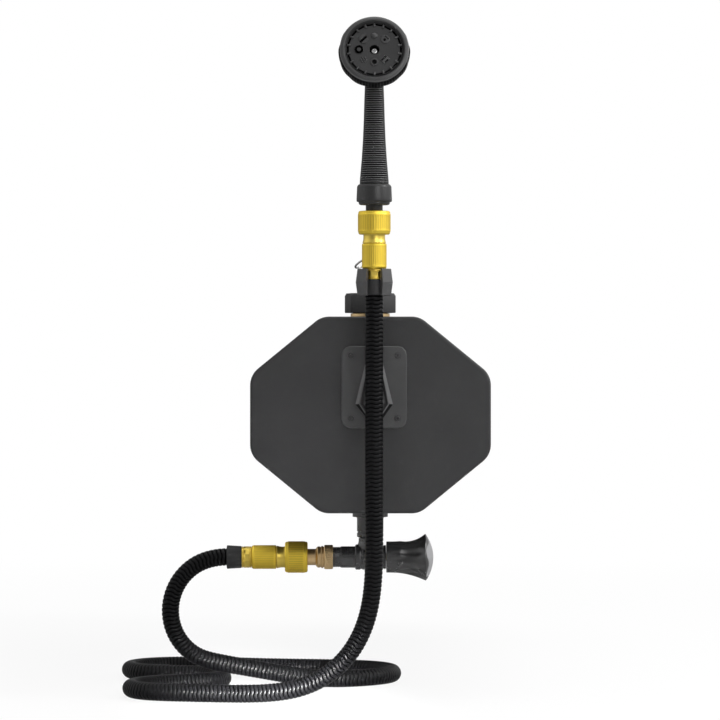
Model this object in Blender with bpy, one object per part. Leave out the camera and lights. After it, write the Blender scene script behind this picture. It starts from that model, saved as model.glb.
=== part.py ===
"""A roof rack shower tank: an octagonal tank, its filler cap, tap, hose, quick couplers and spray head.

Frame: the origin is the middle of the tank's underside, where a roof rack carries it.
+X is to the right of someone who faces the tap end, +Y runs along the tank away from them, +Z is up.
All sizes are in metres.
"""

import math

import bmesh
import bpy
import numpy as np
from mathutils import Euler, Matrix, Vector

MM = 0.001

# Gaps between pieces that touch, and between pieces that run on each other
SEAT_GAP = 0.3 * MM
RUNNING_GAP = 0.4 * MM

# How far a cutting shape runs past what it cuts
CUT_OVERRUN = 5 * MM

# Tank
TANK_WIDTH = 241 * MM
TANK_HEIGHT = 197 * MM
TANK_LENGTH = 1000 * MM
TANK_TOP_FLAT = 98 * MM
TANK_SIDE_FLAT = 80 * MM
TANK_CORNER_RADIUS = 22 * MM
TANK_WALL = 2.5 * MM
END_PLATE = 4 * MM
END_EDGE_RADIUS = 2.5 * MM
END_STEP = 2 * MM

# Fittings stand on one line across the tank, this far behind its front face
FITTING_SETBACK = 110 * MM

# Filler neck and cap
NECK_BORE = 14 * MM
NECK_SPIGOT = 17.8 * MM
NECK_THREAD = 18 * MM
NECK_SHOULDER = 20.2 * MM
NECK_SHOULDER_HEIGHT = 4.3 * MM
NECK_THREAD_HEIGHT = 13 * MM
NECK_SPIGOT_DEPTH = 8 * MM
CAP_CORNER_RADIUS = 27.5 * MM
CAP_TURN = math.radians(14)
CAP_HEIGHT = 20.2 * MM
CAP_ROOF = 4.4 * MM
CAP_CHAMFER = 2.6 * MM
CAP_GASKET_THICKNESS = 2.4 * MM

# Relief valve on the cap
RELIEF_BASE_RADIUS = 10.5 * MM
RELIEF_BASE_HEIGHT = 9 * MM
RELIEF_BODY_RADIUS = 7.8 * MM
RELIEF_BODY_HEIGHT = 29 * MM
RELIEF_WALL = 1.8 * MM
RELIEF_SPIGOT = 5.5 * MM
RELIEF_PORT = 3 * MM
RELIEF_STEM_RADIUS = 2.2 * MM
RELIEF_FLANGE_RADIUS = 4.6 * MM
RELIEF_FLANGE_THICKNESS = 2 * MM
RELIEF_EYE_HEIGHT = 7.2 * MM
RELIEF_EYE_RADIUS = 1.1 * MM
RELIEF_TRAVEL = 3 * MM
PULL_RING_RADIUS = 9.4 * MM
PULL_RING_WIRE = 0.65 * MM
PULL_RING_TURN = math.radians(60)
PULL_RING_LEAN = math.radians(37)

# Outlet under the tank
OUTLET_FLANGE_RADIUS = 18.2 * MM
OUTLET_FLANGE = 6 * MM
OUTLET_GASKET = 1.2 * MM
OUTLET_SPIGOT = 10.4 * MM
OUTLET_BORE = 7 * MM
OUTLET_SPIGOT_HEIGHT = 13 * MM
OUTLET_NUT_RADIUS = 16 * MM
OUTLET_NUT = 6 * MM
OUTLET_SOCKET_RADIUS = 13.6 * MM
OUTLET_SOCKET_DEPTH = 29 * MM
OUTLET_SOCKET_BORE = 9.6 * MM

# Tap: the body lies along X below the outlet
TAP_DROP = 49.2 * MM
TAP_RADIUS = 13 * MM
TAP_LEFT = 15.2 * MM
TAP_RIGHT = 12 * MM
TAP_INLET_RADIUS = 11.6 * MM
TAP_INLET_THREAD = 9.2 * MM
TAP_INLET_THREAD_LENGTH = 15 * MM
TAP_INLET_BORE = 6 * MM
TAP_CHAMBER = 9.4 * MM
TAP_SEAT = 5 * MM
TAP_SEAT_X = -4 * MM
TAP_TAIL_RADIUS = 11 * MM
TAP_TAIL_LENGTH = 14.6 * MM
TAP_THREAD_RADIUS = 10.5 * MM
TAP_THREAD_LENGTH = 15 * MM
BONNET_RADIUS = 12.4 * MM
BONNET_FLANGE = 3.9 * MM
BONNET_SPIGOT = 9.1 * MM
BONNET_DEPTH = 7 * MM
STEM_RADIUS = 3.9 * MM
DISC_RADIUS = 8.4 * MM
DISC_THICKNESS = 3 * MM
KNOB_NECK_RADIUS = 16 * MM
KNOB_LENGTH = 40.9 * MM
KNOB_RIM_RADIUS = 24.4 * MM
KNOB_LOBES = 5
KNOB_STEPS = 6
KNOB_SCALLOP = 0.6 * MM
KNOB_WAIST_SCALLOP = 1.6 * MM
KNOB_RIM_WAVE = 1 * MM
KNOB_DOME_RADIUS = 43.4 * MM
KNOB_DOME = 7.5 * MM
KNOB_PETAL_REACH = 19.6 * MM
KNOB_VALLEY_REACH = 22.9 * MM
KNOB_DISH_DEPTH = 4.6 * MM
KNOB_DISH_TAPER = 0.84
KNOB_SCREW_HEAD = 4.6 * MM
KNOB_SCREW_SHANK = 1.8 * MM
KNOB_SCREW_WEB = 6 * MM
KNOB_COVER_HOLLOW = 1.5 * MM
KNOB_COVER_ROOM = 3.4 * MM

# Brass adapter between the tap and the lower coupler
ADAPTER_COLLAR_RADIUS = 12.5 * MM
ADAPTER_COLLAR = 9.2 * MM
ADAPTER_LENGTH = 26.2 * MM
ADAPTER_BULGE_RADIUS = 10.9 * MM
ADAPTER_WASHER = 1.6 * MM

# Quick coupler, measured along its axis from its mouth towards the hose
NIPPLE_NECK_RADIUS = 8.4 * MM
NIPPLE_TIP_RADIUS = 7.8 * MM
NIPPLE_TIP_LENGTH = 19 * MM
NIPPLE_BORE = 4.8 * MM
NIPPLE_GROOVE = 2.6 * MM
NIPPLE_GROOVE_DEPTH = 1.5 * MM
COUPLER_RING_RADIUS = 16.2 * MM
COUPLER_RING_LENGTH = 23.2 * MM
COUPLER_RING_LIP = 6 * MM
COUPLER_RING_TRAVEL = 5 * MM
COUPLER_NECK_RADIUS = 10.9 * MM
COUPLER_NECK = 9.1 * MM
COUPLER_SOCKET_RADIUS = 11.6 * MM
COUPLER_SHOULDER_RADIUS = 13.8 * MM
COUPLER_SHOULDER = 3 * MM
COUPLER_SPRING_WALL = 1.6 * MM
COUPLER_THREAD_RADIUS = 10 * MM
COUPLER_THREAD_LENGTH = 16 * MM
COUPLER_BORE = 5 * MM
SLEEVE_RADIUS = 12.2 * MM
SLEEVE_LENGTH = 25.2 * MM
TAIL_RADIUS = 11 * MM
TAIL_LENGTH = 9.8 * MM
TAIL_FACETS = 10
TAIL_SPIGOT = 7.6 * MM
TAIL_SPIGOT_LENGTH = 6 * MM
BARB_RADIUS = 4.7 * MM
BARB_REACH = 2 * MM
COLLAR_SMALL_RADIUS = 11.1 * MM
COLLAR_LARGE_RADIUS = 12.1 * MM
COLLAR_LENGTH = 15.2 * MM
HOSE_INSERTION = 12 * MM
LOWER_MOUTH_X = -64.4 * MM
UPPER_MOUTH_Z = 300.8 * MM

# Handset bracket on the front face
HANDSET_X = 3.6 * MM
HANDSET_REACH = 43 * MM
PLATE_WIDTH = 65.4 * MM
PLATE_HEIGHT = 82.2 * MM
PLATE_CENTRE_Z = 126.4 * MM
PLATE_THICKNESS = 3 * MM
PLATE_CORNER = 9 * MM
SCREW_SPACING_X = 46.5 * MM
SCREW_SPACING_Z = 62.8 * MM
SCREW_HEAD_RADIUS = 3.1 * MM
SCREW_HEAD = 1.9 * MM
SCREW_SHANK_RADIUS = 1.9 * MM
SCREW_BITE = 2.9 * MM
SOCKET_HALF_WIDTH = 19 * MM
SOCKET_NECK_HALF_WIDTH = 8.8 * MM
SOCKET_WIDEST_Z = 109.2 * MM
SOCKET_TIP_Z = 84.6 * MM
SOCKET_TOP_Z = 152 * MM
SOCKET_DEPTH = 4.5 * MM
SOCKET_RIM = 3.2 * MM
SOCKET_SLOPE = 1.6 * MM
ARM_ROOT_HALF_WIDTH = 11.8 * MM
ARM_ROOT_TIP_Z = 95 * MM
ARM_ROOT_DEPTH = 10 * MM
ARM_HALF_WIDTH = 6.8 * MM
ARM_RIDGE = 0.45
ARM_THICKNESS = 11 * MM
CRADLE_TOP_Z = 243.6 * MM
CRADLE_HEIGHT = 26.6 * MM
CRADLE_RADIUS = 18.3 * MM
CRADLE_END_RADIUS = 16.6 * MM
CRADLE_BORE = 12.6 * MM
CRADLE_GAP = 17.8 * MM
CRADLE_THROAT = 11 * MM

# Spray head
HANDLE_BOTTOM_Z = 327.6 * MM
HANDLE_BOTTOM_RADIUS = 14.2 * MM
HANDLE_MIDDLE_RADIUS = 11 * MM
HANDLE_MIDDLE_Z = 378 * MM
HANDLE_TOP_RADIUS = 9 * MM
HANDLE_BORE = 5.5 * MM
BASE_TOP_RADIUS = 16.6 * MM
BASE_BOTTOM_RADIUS = 17.3 * MM
BASE_LIP_RADIUS = 15 * MM
BASE_LIP = 3.1 * MM
BASE_BOTTOM_Z = 306.7 * MM
BASE_SOCKET = 11.5 * MM
HEAD_TILT = math.radians(16)
HEAD_FORWARD = 26 * MM
FACE_CENTRE_Z = 459.4 * MM
HANDLE_TOP_Z = FACE_CENTRE_Z - 29.4 * MM
HANDLE_OVERLAP = 6 * MM
WATERWAY_BELOW = 25 * MM
WATERWAY_ABOVE = 12 * MM
FACE_RADIUS = 34.1 * MM
DIAL_LENGTH = 16.5 * MM
DIAL_LOBE_RADIUS = 35.3 * MM
DIAL_WAIST_RADIUS = 33.6 * MM
DIAL_LOBES = 10
DIAL_RIM = 2.4 * MM
DIAL_RECESS = 2.6 * MM
NOZZLE_THICKNESS = 5 * MM
NOZZLE_SHELF = 4 * MM
SHELL_RADIUS = 31.4 * MM
SHELL_LENGTH = 29 * MM
SHELL_WALL = 2.4 * MM
SHELL_POST_RADIUS = 5 * MM
DIAL_SCREW_HEAD = 4.8 * MM
DIAL_SCREW_THICKNESS = 1.8 * MM
DIAL_SCREW_SHANK = 1.6 * MM

# Hose: the route's points are (across, behind the handset's axis, height) in millimetres
HOSE_RADIUS = 9 * MM
HOSE_GROOVE_RADIUS = 8.1 * MM
HOSE_BORE_RADIUS = 6.1 * MM
HOSE_RIBS = 144
HOSE_BORE_RINGS = 88
HOSE_BORE_OVERRUN = 3 * MM
HOSE_ROUTE = [
    (-151, 153, -49.2),
    (-178, 153, -56.6),
    (-198.1, 153, -76.7),
    (-205.5, 153, -104.2),
    (-198.1, 153.5, -131.7),
    (-178, 154.5, -151),
    (-157, 156.5, -157.6),
    (-115, 165, -166),
    (-46, 186, -176.9),
    (3.5, 206.5, -176.9),
    (24, 256, -176.9),
    (3.5, 305.5, -176.9),
    (-46, 327, -176.9),
    (-125, 345, -176.9),
    (-198, 364, -176.9),
    (-239, 347, -176.9),
    (-256, 306, -176.9),
    (-240, 266, -176.9),
    (-221, 254, -176.9),
    (-188, 242, -176.9),
    (-170, 230, -176.9),
    (-153, 190, -176.9),
    (-169.5, 150, -176.9),
    (-189, 137.5, -176.9),
    (-205, 129, -176.9),
    (-224, 114, -176.9),
    (-241, 74, -176.9),
    (-225, 35, -176.9),
    (-184, 16, -176.9),
    (-125, 6, -176.9),
    (-88, 1, -174.3),
    (-64, 0, -168.5),
    (-40, 0, -155.5),
    (-18, 0, -132.5),
    (-3.5, 0, -101),
    (2.6, 0, -62),
    (3.6, 0, -10),
]

# Segments round a turned piece
ROUND = 20
SMALL_ROUND = 12
TINY_ROUND = 10

# Places worked out from the sizes above
FRONT_Y = -TANK_LENGTH / 2
FITTING_Y = FRONT_Y + FITTING_SETBACK
HANDSET_Y = FRONT_Y - HANDSET_REACH
TAP_Z = -TAP_DROP
CAP_GAP = SEAT_GAP
NECK_TOP_Z = TANK_HEIGHT + SEAT_GAP + NECK_SHOULDER_HEIGHT + NECK_THREAD_HEIGHT
CAP_BOTTOM_Z = TANK_HEIGHT + SEAT_GAP + NECK_SHOULDER_HEIGHT + CAP_GAP
CAP_TOP_Z = CAP_BOTTOM_Z + CAP_HEIGHT
CAP_ROOF_Z = CAP_TOP_Z - CAP_ROOF
COUPLER_SLEEVE_START = COUPLER_RING_LENGTH + COUPLER_NECK
COUPLER_TAIL_START = COUPLER_SLEEVE_START + SLEEVE_LENGTH + SEAT_GAP
COUPLER_COLLAR_START = COUPLER_TAIL_START + TAIL_LENGTH + SEAT_GAP
COUPLER_LENGTH = COUPLER_COLLAR_START + COLLAR_LENGTH
PLATE_FRONT_Y = FRONT_Y - SEAT_GAP - PLATE_THICKNESS

# Turns that carry a piece's own +Z onto another direction
ALONG_MINUS_X = Euler((0, -math.pi / 2, 0))
ALONG_PLUS_X = Euler((0, math.pi / 2, 0))
UPSIDE_DOWN = Euler((math.pi, 0, 0))
UPRIGHT = Euler((0, 0, 0))
HEAD_TURN = Euler((math.pi / 2 - HEAD_TILT, 0, 0))

FINISHES = {
    "powder_coat": ((0.045, 0.045, 0.046), 0.55, 0.0),
    "bracket_plastic": ((0.055, 0.055, 0.056), 0.5, 0.0),
    "black_plastic": ((0.018, 0.018, 0.019), 0.45, 0.0),
    "grip_plastic": ((0.022, 0.022, 0.023), 0.55, 0.0),
    "tap_plastic": ((0.04, 0.04, 0.042), 0.5, 0.0),
    "grey_insert": ((0.35, 0.36, 0.38), 0.4, 0.0),
    "hose_black": ((0.012, 0.012, 0.013), 0.3, 0.0),
    "collar_grey": ((0.06, 0.06, 0.062), 0.5, 0.0),
    "gold_brass": ((0.72, 0.52, 0.08), 0.28, 1.0),
    "raw_brass": ((0.62, 0.42, 0.2), 0.3, 1.0),
    "steel": ((0.6, 0.6, 0.6), 0.3, 1.0),
    "black_steel": ((0.05, 0.05, 0.05), 0.4, 1.0),
    "rubber": ((0.02, 0.02, 0.02), 0.8, 0.0),
}


def clear_scene():
    """Removes every object, so that the part is the only thing in the file."""
    for found in list(bpy.data.objects):
        bpy.data.objects.remove(found, do_unlink=True)


def finish_of(piece, finish):
    """Gives the piece a material of its own in the named finish."""
    colour, roughness, metallic = FINISHES[finish]
    material = bpy.data.materials.new(f"{piece.name}_{finish}")
    material.use_nodes = True
    surface = material.node_tree.nodes["Principled BSDF"]
    surface.inputs["Base Color"].default_value = (*colour, 1.0)
    surface.inputs["Roughness"].default_value = roughness
    surface.inputs["Metallic"].default_value = metallic
    material.diffuse_color = (*colour, 1.0)
    piece.data.materials.append(material)


def add_piece(name, shape, finish, place=(0, 0, 0), turn=UPRIGHT, smooth=True):
    """Makes one object of a bmesh, at its place and turn."""
    bmesh.ops.recalc_face_normals(shape, faces=shape.faces)
    mesh = bpy.data.meshes.new(name)
    shape.to_mesh(mesh)
    shape.free()
    piece = bpy.data.objects.new(name, mesh)
    bpy.context.scene.collection.objects.link(piece)
    piece.location = place
    piece.rotation_euler = turn
    if smooth:
        mesh.shade_smooth()
        mesh.set_sharp_from_angle(angle=math.radians(35))
    if finish:
        finish_of(piece, finish)
    return piece


def hide_cutter(cutter):
    """Keeps a cutting shape out of the model itself."""
    cutter.hide_render = True
    cutter.display_type = "WIRE"


def cut(piece, cutter, operation="DIFFERENCE"):
    """Cuts the cutter out of the piece, or joins it on."""
    hide_cutter(cutter)
    step = piece.modifiers.new(cutter.name, "BOOLEAN")
    step.operation = operation
    step.solver = "EXACT"
    step.object = cutter


def turned_shape(outline, steps):
    """Spins a closed outline of (radius, height) pairs round the Z axis."""
    shape = bmesh.new()
    points = [shape.verts.new((radius, 0, height)) for radius, height in outline]
    rim = []
    for first, second in zip(points, points[1:] + points[:1]):
        if first.co.x > 0 or second.co.x > 0:
            rim.append(shape.edges.new((first, second)))
    bmesh.ops.spin(
        shape,
        geom=points + rim,
        cent=(0, 0, 0),
        axis=(0, 0, 1),
        angle=math.tau,
        steps=steps,
        use_merge=True,
    )
    bmesh.ops.remove_doubles(shape, verts=shape.verts, dist=0.001 * MM)
    bmesh.ops.dissolve_degenerate(shape, edges=shape.edges, dist=0.001 * MM)
    return shape


def turned(name, outline, finish, place=(0, 0, 0), turn=UPRIGHT, steps=ROUND):
    """A turned piece from its (radius, height) outline."""
    return add_piece(name, turned_shape(outline, steps), finish, place, turn)


def tube_outline(inner, outer, low, high):
    """The outline of a plain ring."""
    return [(inner, low), (outer, low), (outer, high), (inner, high)]


def stacked_shape(rings):
    """Joins rings of equally many points, one above the other, and closes both ends."""
    shape = bmesh.new()
    rows = [[shape.verts.new(point) for point in ring] for ring in rings]
    for lower, upper in zip(rows, rows[1:]):
        count = len(lower)
        for i in range(count):
            j = (i + 1) % count
            shape.faces.new((lower[i], lower[j], upper[j], upper[i]))
    shape.faces.new(rows[0])
    shape.faces.new(rows[-1])
    return shape


def looped_shape(rings):
    """Joins rings of equally many points into one closed wall, the last back to the first."""
    shape = bmesh.new()
    rows = [[shape.verts.new(point) for point in ring] for ring in rings]
    for lower, upper in zip(rows, rows[1:] + rows[:1]):
        count = len(lower)
        for i in range(count):
            j = (i + 1) % count
            shape.faces.new((lower[i], lower[j], upper[j], upper[i]))
    return shape


def polygon_ring(radius, height, sides, turn=0.0):
    """The corners of a regular polygon round the Z axis."""
    angles = [turn + math.tau * i / sides for i in range(sides)]
    return [(radius * math.cos(a), radius * math.sin(a), height) for a in angles]


def inset_polygon(corners, distance):
    """Moves every side of a convex outline inwards by the distance; the corners run anticlockwise."""
    lines = []
    for (x0, z0), (x1, z1) in zip(corners, corners[1:] + corners[:1]):
        side = Vector((x1 - x0, z1 - z0)).normalized()
        inward = Vector((-side.y, side.x))
        lines.append((Vector((x0, z0)) + inward * distance, side))
    moved = []
    for (p, u), (q, v) in zip(lines[-1:] + lines[:-1], lines):
        reach = ((q - p).x * v.y - (q - p).y * v.x) / (u.x * v.y - u.y * v.x)
        moved.append(tuple(p + u * reach))
    return moved


def rounded_polygon(corners, radius, steps):
    """Rounds each corner of a convex outline with an arc of the radius."""
    points = []
    count = len(corners)
    for i in range(count):
        corner = Vector(corners[i])
        back = (Vector(corners[i - 1]) - corner).normalized()
        ahead = (Vector(corners[(i + 1) % count]) - corner).normalized()
        half = back.angle(ahead) / 2
        middle = corner + (back + ahead).normalized() * (radius / math.sin(half))
        start = corner + back * (radius / math.tan(half)) - middle
        sweep = math.pi - 2 * half
        for k in range(steps + 1):
            angle = sweep * k / steps
            across = Matrix.Rotation(angle, 2) @ start
            points.append(tuple(middle + across))
    return points


def tank_corners():
    """The tank's octagon as (across, height) corners, anticlockwise from the lower right flat."""
    half_width = TANK_WIDTH / 2
    half_top = TANK_TOP_FLAT / 2
    low = (TANK_HEIGHT - TANK_SIDE_FLAT) / 2
    high = TANK_HEIGHT - low
    return [
        (-half_top, 0),
        (half_top, 0),
        (half_width, low),
        (half_width, high),
        (half_top, TANK_HEIGHT),
        (-half_top, TANK_HEIGHT),
        (-half_width, high),
        (-half_width, low),
    ]


def tank_ring(inset, y):
    """The tank's rounded outline, drawn in by the inset, at one place along its length."""
    radius = TANK_CORNER_RADIUS - inset
    outline = rounded_polygon(inset_polygon(tank_corners(), inset), radius, 3)
    return [(x, y, z) for x, z in outline]


def upright_cutter(name, radius, low, high, steps=ROUND):
    """A round cutter on the filler's and outlet's line."""
    shape = stacked_shape([polygon_ring(radius, low, steps), polygon_ring(radius, high, steps)])
    return add_piece(name, shape, None, (0, FITTING_Y, 0))


def build_tank():
    """The tank: an octagonal shell and two welded end plates."""
    start = FRONT_Y + END_PLATE + SEAT_GAP
    finish = -start
    rings = [
        tank_ring(0, start),
        tank_ring(0, finish),
        tank_ring(TANK_WALL, finish),
        tank_ring(TANK_WALL, start),
    ]
    shell = add_piece("tank_shell", looped_shape(rings), "powder_coat")
    margin = 2 * TANK_WALL
    top_hole = upright_cutter(
        "filler_hole", NECK_SPIGOT + SEAT_GAP, TANK_HEIGHT - margin, TANK_HEIGHT + margin
    )
    cut(shell, top_hole)
    cut(shell, upright_cutter("outlet_hole", OUTLET_SPIGOT + SEAT_GAP, -margin, margin))
    for name, side in (("front_end_plate", 1), ("rear_end_plate", -1)):
        build_end_plate(name, side)


def build_end_plate(name, side):
    """One end plate, with a rounded front edge and a step that centres it in the shell."""
    outer_y = FRONT_Y * side
    slope = END_EDGE_RADIUS * (1 - math.sqrt(0.5))
    levels = [
        (END_EDGE_RADIUS, 0),
        (slope, slope),
        (0, END_EDGE_RADIUS),
        (0, END_PLATE),
        (TANK_WALL + SEAT_GAP, END_PLATE),
        (TANK_WALL + SEAT_GAP, END_PLATE + END_STEP),
    ]
    rings = [tank_ring(inset, outer_y + depth * side) for inset, depth in levels]
    plate = add_piece(name, stacked_shape(rings), "powder_coat")
    if side > 0:
        depth = SCREW_BITE + SEAT_GAP
        for label, x, z in screw_places():
            hole = front_cutter(f"{label}_blind_hole", SCREW_SHANK_RADIUS + SEAT_GAP, -depth, depth)
            hole.location = (x, FRONT_Y, z)
            cut(plate, hole)


def front_cutter(name, radius, low, high):
    """A round cutter along Y, for screws in the front face."""
    rings = [polygon_ring(radius, low, TINY_ROUND), polygon_ring(radius, high, TINY_ROUND)]
    return add_piece(name, stacked_shape(rings), None, (0, 0, 0), Euler((math.pi / 2, 0, 0)))


def build_filler():
    """The filler neck, its cap and the gasket under the cap's roof."""
    shoulder_z = TANK_HEIGHT + SEAT_GAP
    neck = [
        (NECK_BORE, TANK_HEIGHT - NECK_SPIGOT_DEPTH),
        (NECK_SPIGOT, TANK_HEIGHT - NECK_SPIGOT_DEPTH),
        (NECK_SPIGOT, shoulder_z),
        (NECK_SHOULDER, shoulder_z),
        (NECK_SHOULDER, shoulder_z + NECK_SHOULDER_HEIGHT),
        (NECK_THREAD, shoulder_z + NECK_SHOULDER_HEIGHT),
        (NECK_THREAD, NECK_TOP_Z),
        (NECK_BORE, NECK_TOP_Z),
    ]
    place = (0, FITTING_Y, 0)
    turned("filler_neck", neck, "raw_brass", place)
    gasket_low = NECK_TOP_Z + SEAT_GAP
    gasket_high = gasket_low + CAP_GASKET_THICKNESS
    gasket = tube_outline(NECK_BORE - 1 * MM, NECK_THREAD, gasket_low, gasket_high)
    turned("cap_gasket", gasket, "rubber", place)
    build_cap(place)


def build_cap(place):
    """The hexagonal cap: chamfered outside, hollow below, with a hole for the relief valve."""
    flat = CAP_CORNER_RADIUS - CAP_CHAMFER
    drop = CAP_CHAMFER * 0.55
    levels = [
        (CAP_CORNER_RADIUS - 0.8 * MM, CAP_BOTTOM_Z),
        (CAP_CORNER_RADIUS, CAP_BOTTOM_Z + 0.8 * MM),
        (CAP_CORNER_RADIUS, CAP_TOP_Z - drop),
        (flat, CAP_TOP_Z),
    ]
    turn = CAP_TURN - math.pi / 2
    rings = [polygon_ring(radius, z, 6, turn) for radius, z in levels]
    cap = add_piece("filler_cap", stacked_shape(rings), "black_plastic", place, smooth=False)
    hollow_radius = NECK_THREAD + RUNNING_GAP
    hollow = upright_cutter("cap_hollow", hollow_radius, CAP_BOTTOM_Z - CUT_OVERRUN, CAP_ROOF_Z)
    cut(cap, hollow)
    hole_radius = RELIEF_SPIGOT + SEAT_GAP
    low = CAP_ROOF_Z - CUT_OVERRUN
    high = CAP_TOP_Z + CUT_OVERRUN
    cut(cap, upright_cutter("cap_valve_hole", hole_radius, low, high, 16))


def build_relief_valve():
    """The pressure relief valve on the cap: body, spring, stem and the ring that lifts it."""
    place = (0, FITTING_Y, 0)
    base = CAP_TOP_Z + SEAT_GAP
    top = base + RELIEF_BODY_HEIGHT
    chamber = RELIEF_BODY_RADIUS - RELIEF_WALL
    floor = base + 3 * MM
    roof = top - RELIEF_WALL
    stem_hole = RELIEF_STEM_RADIUS + RUNNING_GAP
    body = [
        (RELIEF_PORT, CAP_ROOF_Z + SEAT_GAP),
        (RELIEF_SPIGOT, CAP_ROOF_Z + SEAT_GAP),
        (RELIEF_SPIGOT, base),
        (RELIEF_BASE_RADIUS, base),
        (RELIEF_BASE_RADIUS, base + RELIEF_BASE_HEIGHT),
        (RELIEF_BODY_RADIUS, base + RELIEF_BASE_HEIGHT),
        (RELIEF_BODY_RADIUS, top),
        (stem_hole, top),
        (stem_hole, roof),
        (chamber, roof),
        (chamber, floor),
        (RELIEF_PORT, floor),
    ]
    turned("relief_valve_body", body, "raw_brass", place, steps=SMALL_ROUND)
    flange_low = floor + SEAT_GAP
    flange_high = flange_low + RELIEF_FLANGE_THICKNESS
    eye_z = top + RELIEF_EYE_HEIGHT
    stem = [
        (0, flange_low),
        (RELIEF_FLANGE_RADIUS, flange_low),
        (RELIEF_FLANGE_RADIUS, flange_high),
        (RELIEF_STEM_RADIUS, flange_high),
        (RELIEF_STEM_RADIUS, eye_z + 2.4 * MM),
        (0, eye_z + 3 * MM),
    ]
    post = turned("relief_stem", stem, "steel", place, steps=TINY_ROUND)
    eye = stacked_shape(
        [polygon_ring(RELIEF_EYE_RADIUS, -6 * MM, 8), polygon_ring(RELIEF_EYE_RADIUS, 6 * MM, 8)]
    )
    eye_turn = Euler((0, math.pi / 2, PULL_RING_TURN))
    cut(post, add_piece("relief_eye", eye, None, (0, FITTING_Y, eye_z), eye_turn))
    spring_low = flange_high + SEAT_GAP
    spring_high = roof - SEAT_GAP
    spring_inner = RELIEF_STEM_RADIUS + RUNNING_GAP
    spring = tube_outline(spring_inner, RELIEF_FLANGE_RADIUS, spring_low, spring_high)
    turned("relief_spring", spring, "steel", place, steps=TINY_ROUND)
    build_pull_ring(eye_z)


def pull_ring_axes():
    """The ring's hinge axis through the eye, and the way its middle hangs from there."""
    hinge = Vector((math.cos(PULL_RING_TURN), math.sin(PULL_RING_TURN), 0))
    outward = Vector((-math.sin(PULL_RING_TURN), math.cos(PULL_RING_TURN), 0))
    hang = outward * math.cos(PULL_RING_LEAN) - Vector((0, 0, 1)) * math.sin(PULL_RING_LEAN)
    return hinge, hang


def build_pull_ring(eye_z):
    """The wire ring, threaded through the stem's eye and leaning on its side."""
    hinge, hang = pull_ring_axes()
    normal = hinge.cross(hang)
    rings = []
    for i in range(20):
        angle = math.tau * i / 20
        outward = hinge * math.sin(angle) - hang * math.cos(angle)
        middle = hang * PULL_RING_RADIUS + outward * PULL_RING_RADIUS
        ring = []
        for k in range(6):
            round_wire = math.tau * k / 6
            offset = outward * math.cos(round_wire) + normal * math.sin(round_wire)
            ring.append(tuple(middle + offset * PULL_RING_WIRE))
        rings.append(ring)
    add_piece("pull_ring", looped_shape(rings), "steel", (0, FITTING_Y, eye_z))


def build_outlet():
    """The outlet through the tank's floor: flanged socket, gasket and the nut inside."""
    place = (0, FITTING_Y, 0)
    gasket_top = -SEAT_GAP
    gasket_low = gasket_top - OUTLET_GASKET
    gasket = tube_outline(OUTLET_SPIGOT + SEAT_GAP, OUTLET_FLANGE_RADIUS, gasket_low, gasket_top)
    turned("outlet_gasket", gasket, "rubber", place)
    flange_top = gasket_low - SEAT_GAP
    flange_low = flange_top - OUTLET_FLANGE
    step_z = -12 * MM
    socket = [
        (OUTLET_BORE, OUTLET_SPIGOT_HEIGHT),
        (OUTLET_BORE, step_z),
        (OUTLET_SOCKET_BORE, step_z),
        (OUTLET_SOCKET_BORE, -OUTLET_SOCKET_DEPTH),
        (OUTLET_SOCKET_RADIUS, -OUTLET_SOCKET_DEPTH),
        (OUTLET_SOCKET_RADIUS, flange_low),
        (OUTLET_FLANGE_RADIUS, flange_low),
        (OUTLET_FLANGE_RADIUS, flange_top),
        (OUTLET_SPIGOT, flange_top),
        (OUTLET_SPIGOT, OUTLET_SPIGOT_HEIGHT),
    ]
    turned("outlet_socket", socket, "tap_plastic", place)
    nut_low = TANK_WALL + SEAT_GAP
    rings = [
        polygon_ring(OUTLET_NUT_RADIUS, nut_low, 6),
        polygon_ring(OUTLET_NUT_RADIUS, nut_low + OUTLET_NUT, 6),
    ]
    nut = add_piece("outlet_locknut", stacked_shape(rings), "tap_plastic", place, smooth=False)
    nut_top = nut_low + OUTLET_NUT
    cut(nut, upright_cutter("locknut_bore", OUTLET_SPIGOT + SEAT_GAP, -CUT_OVERRUN, nut_top + CUT_OVERRUN, 16))


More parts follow.
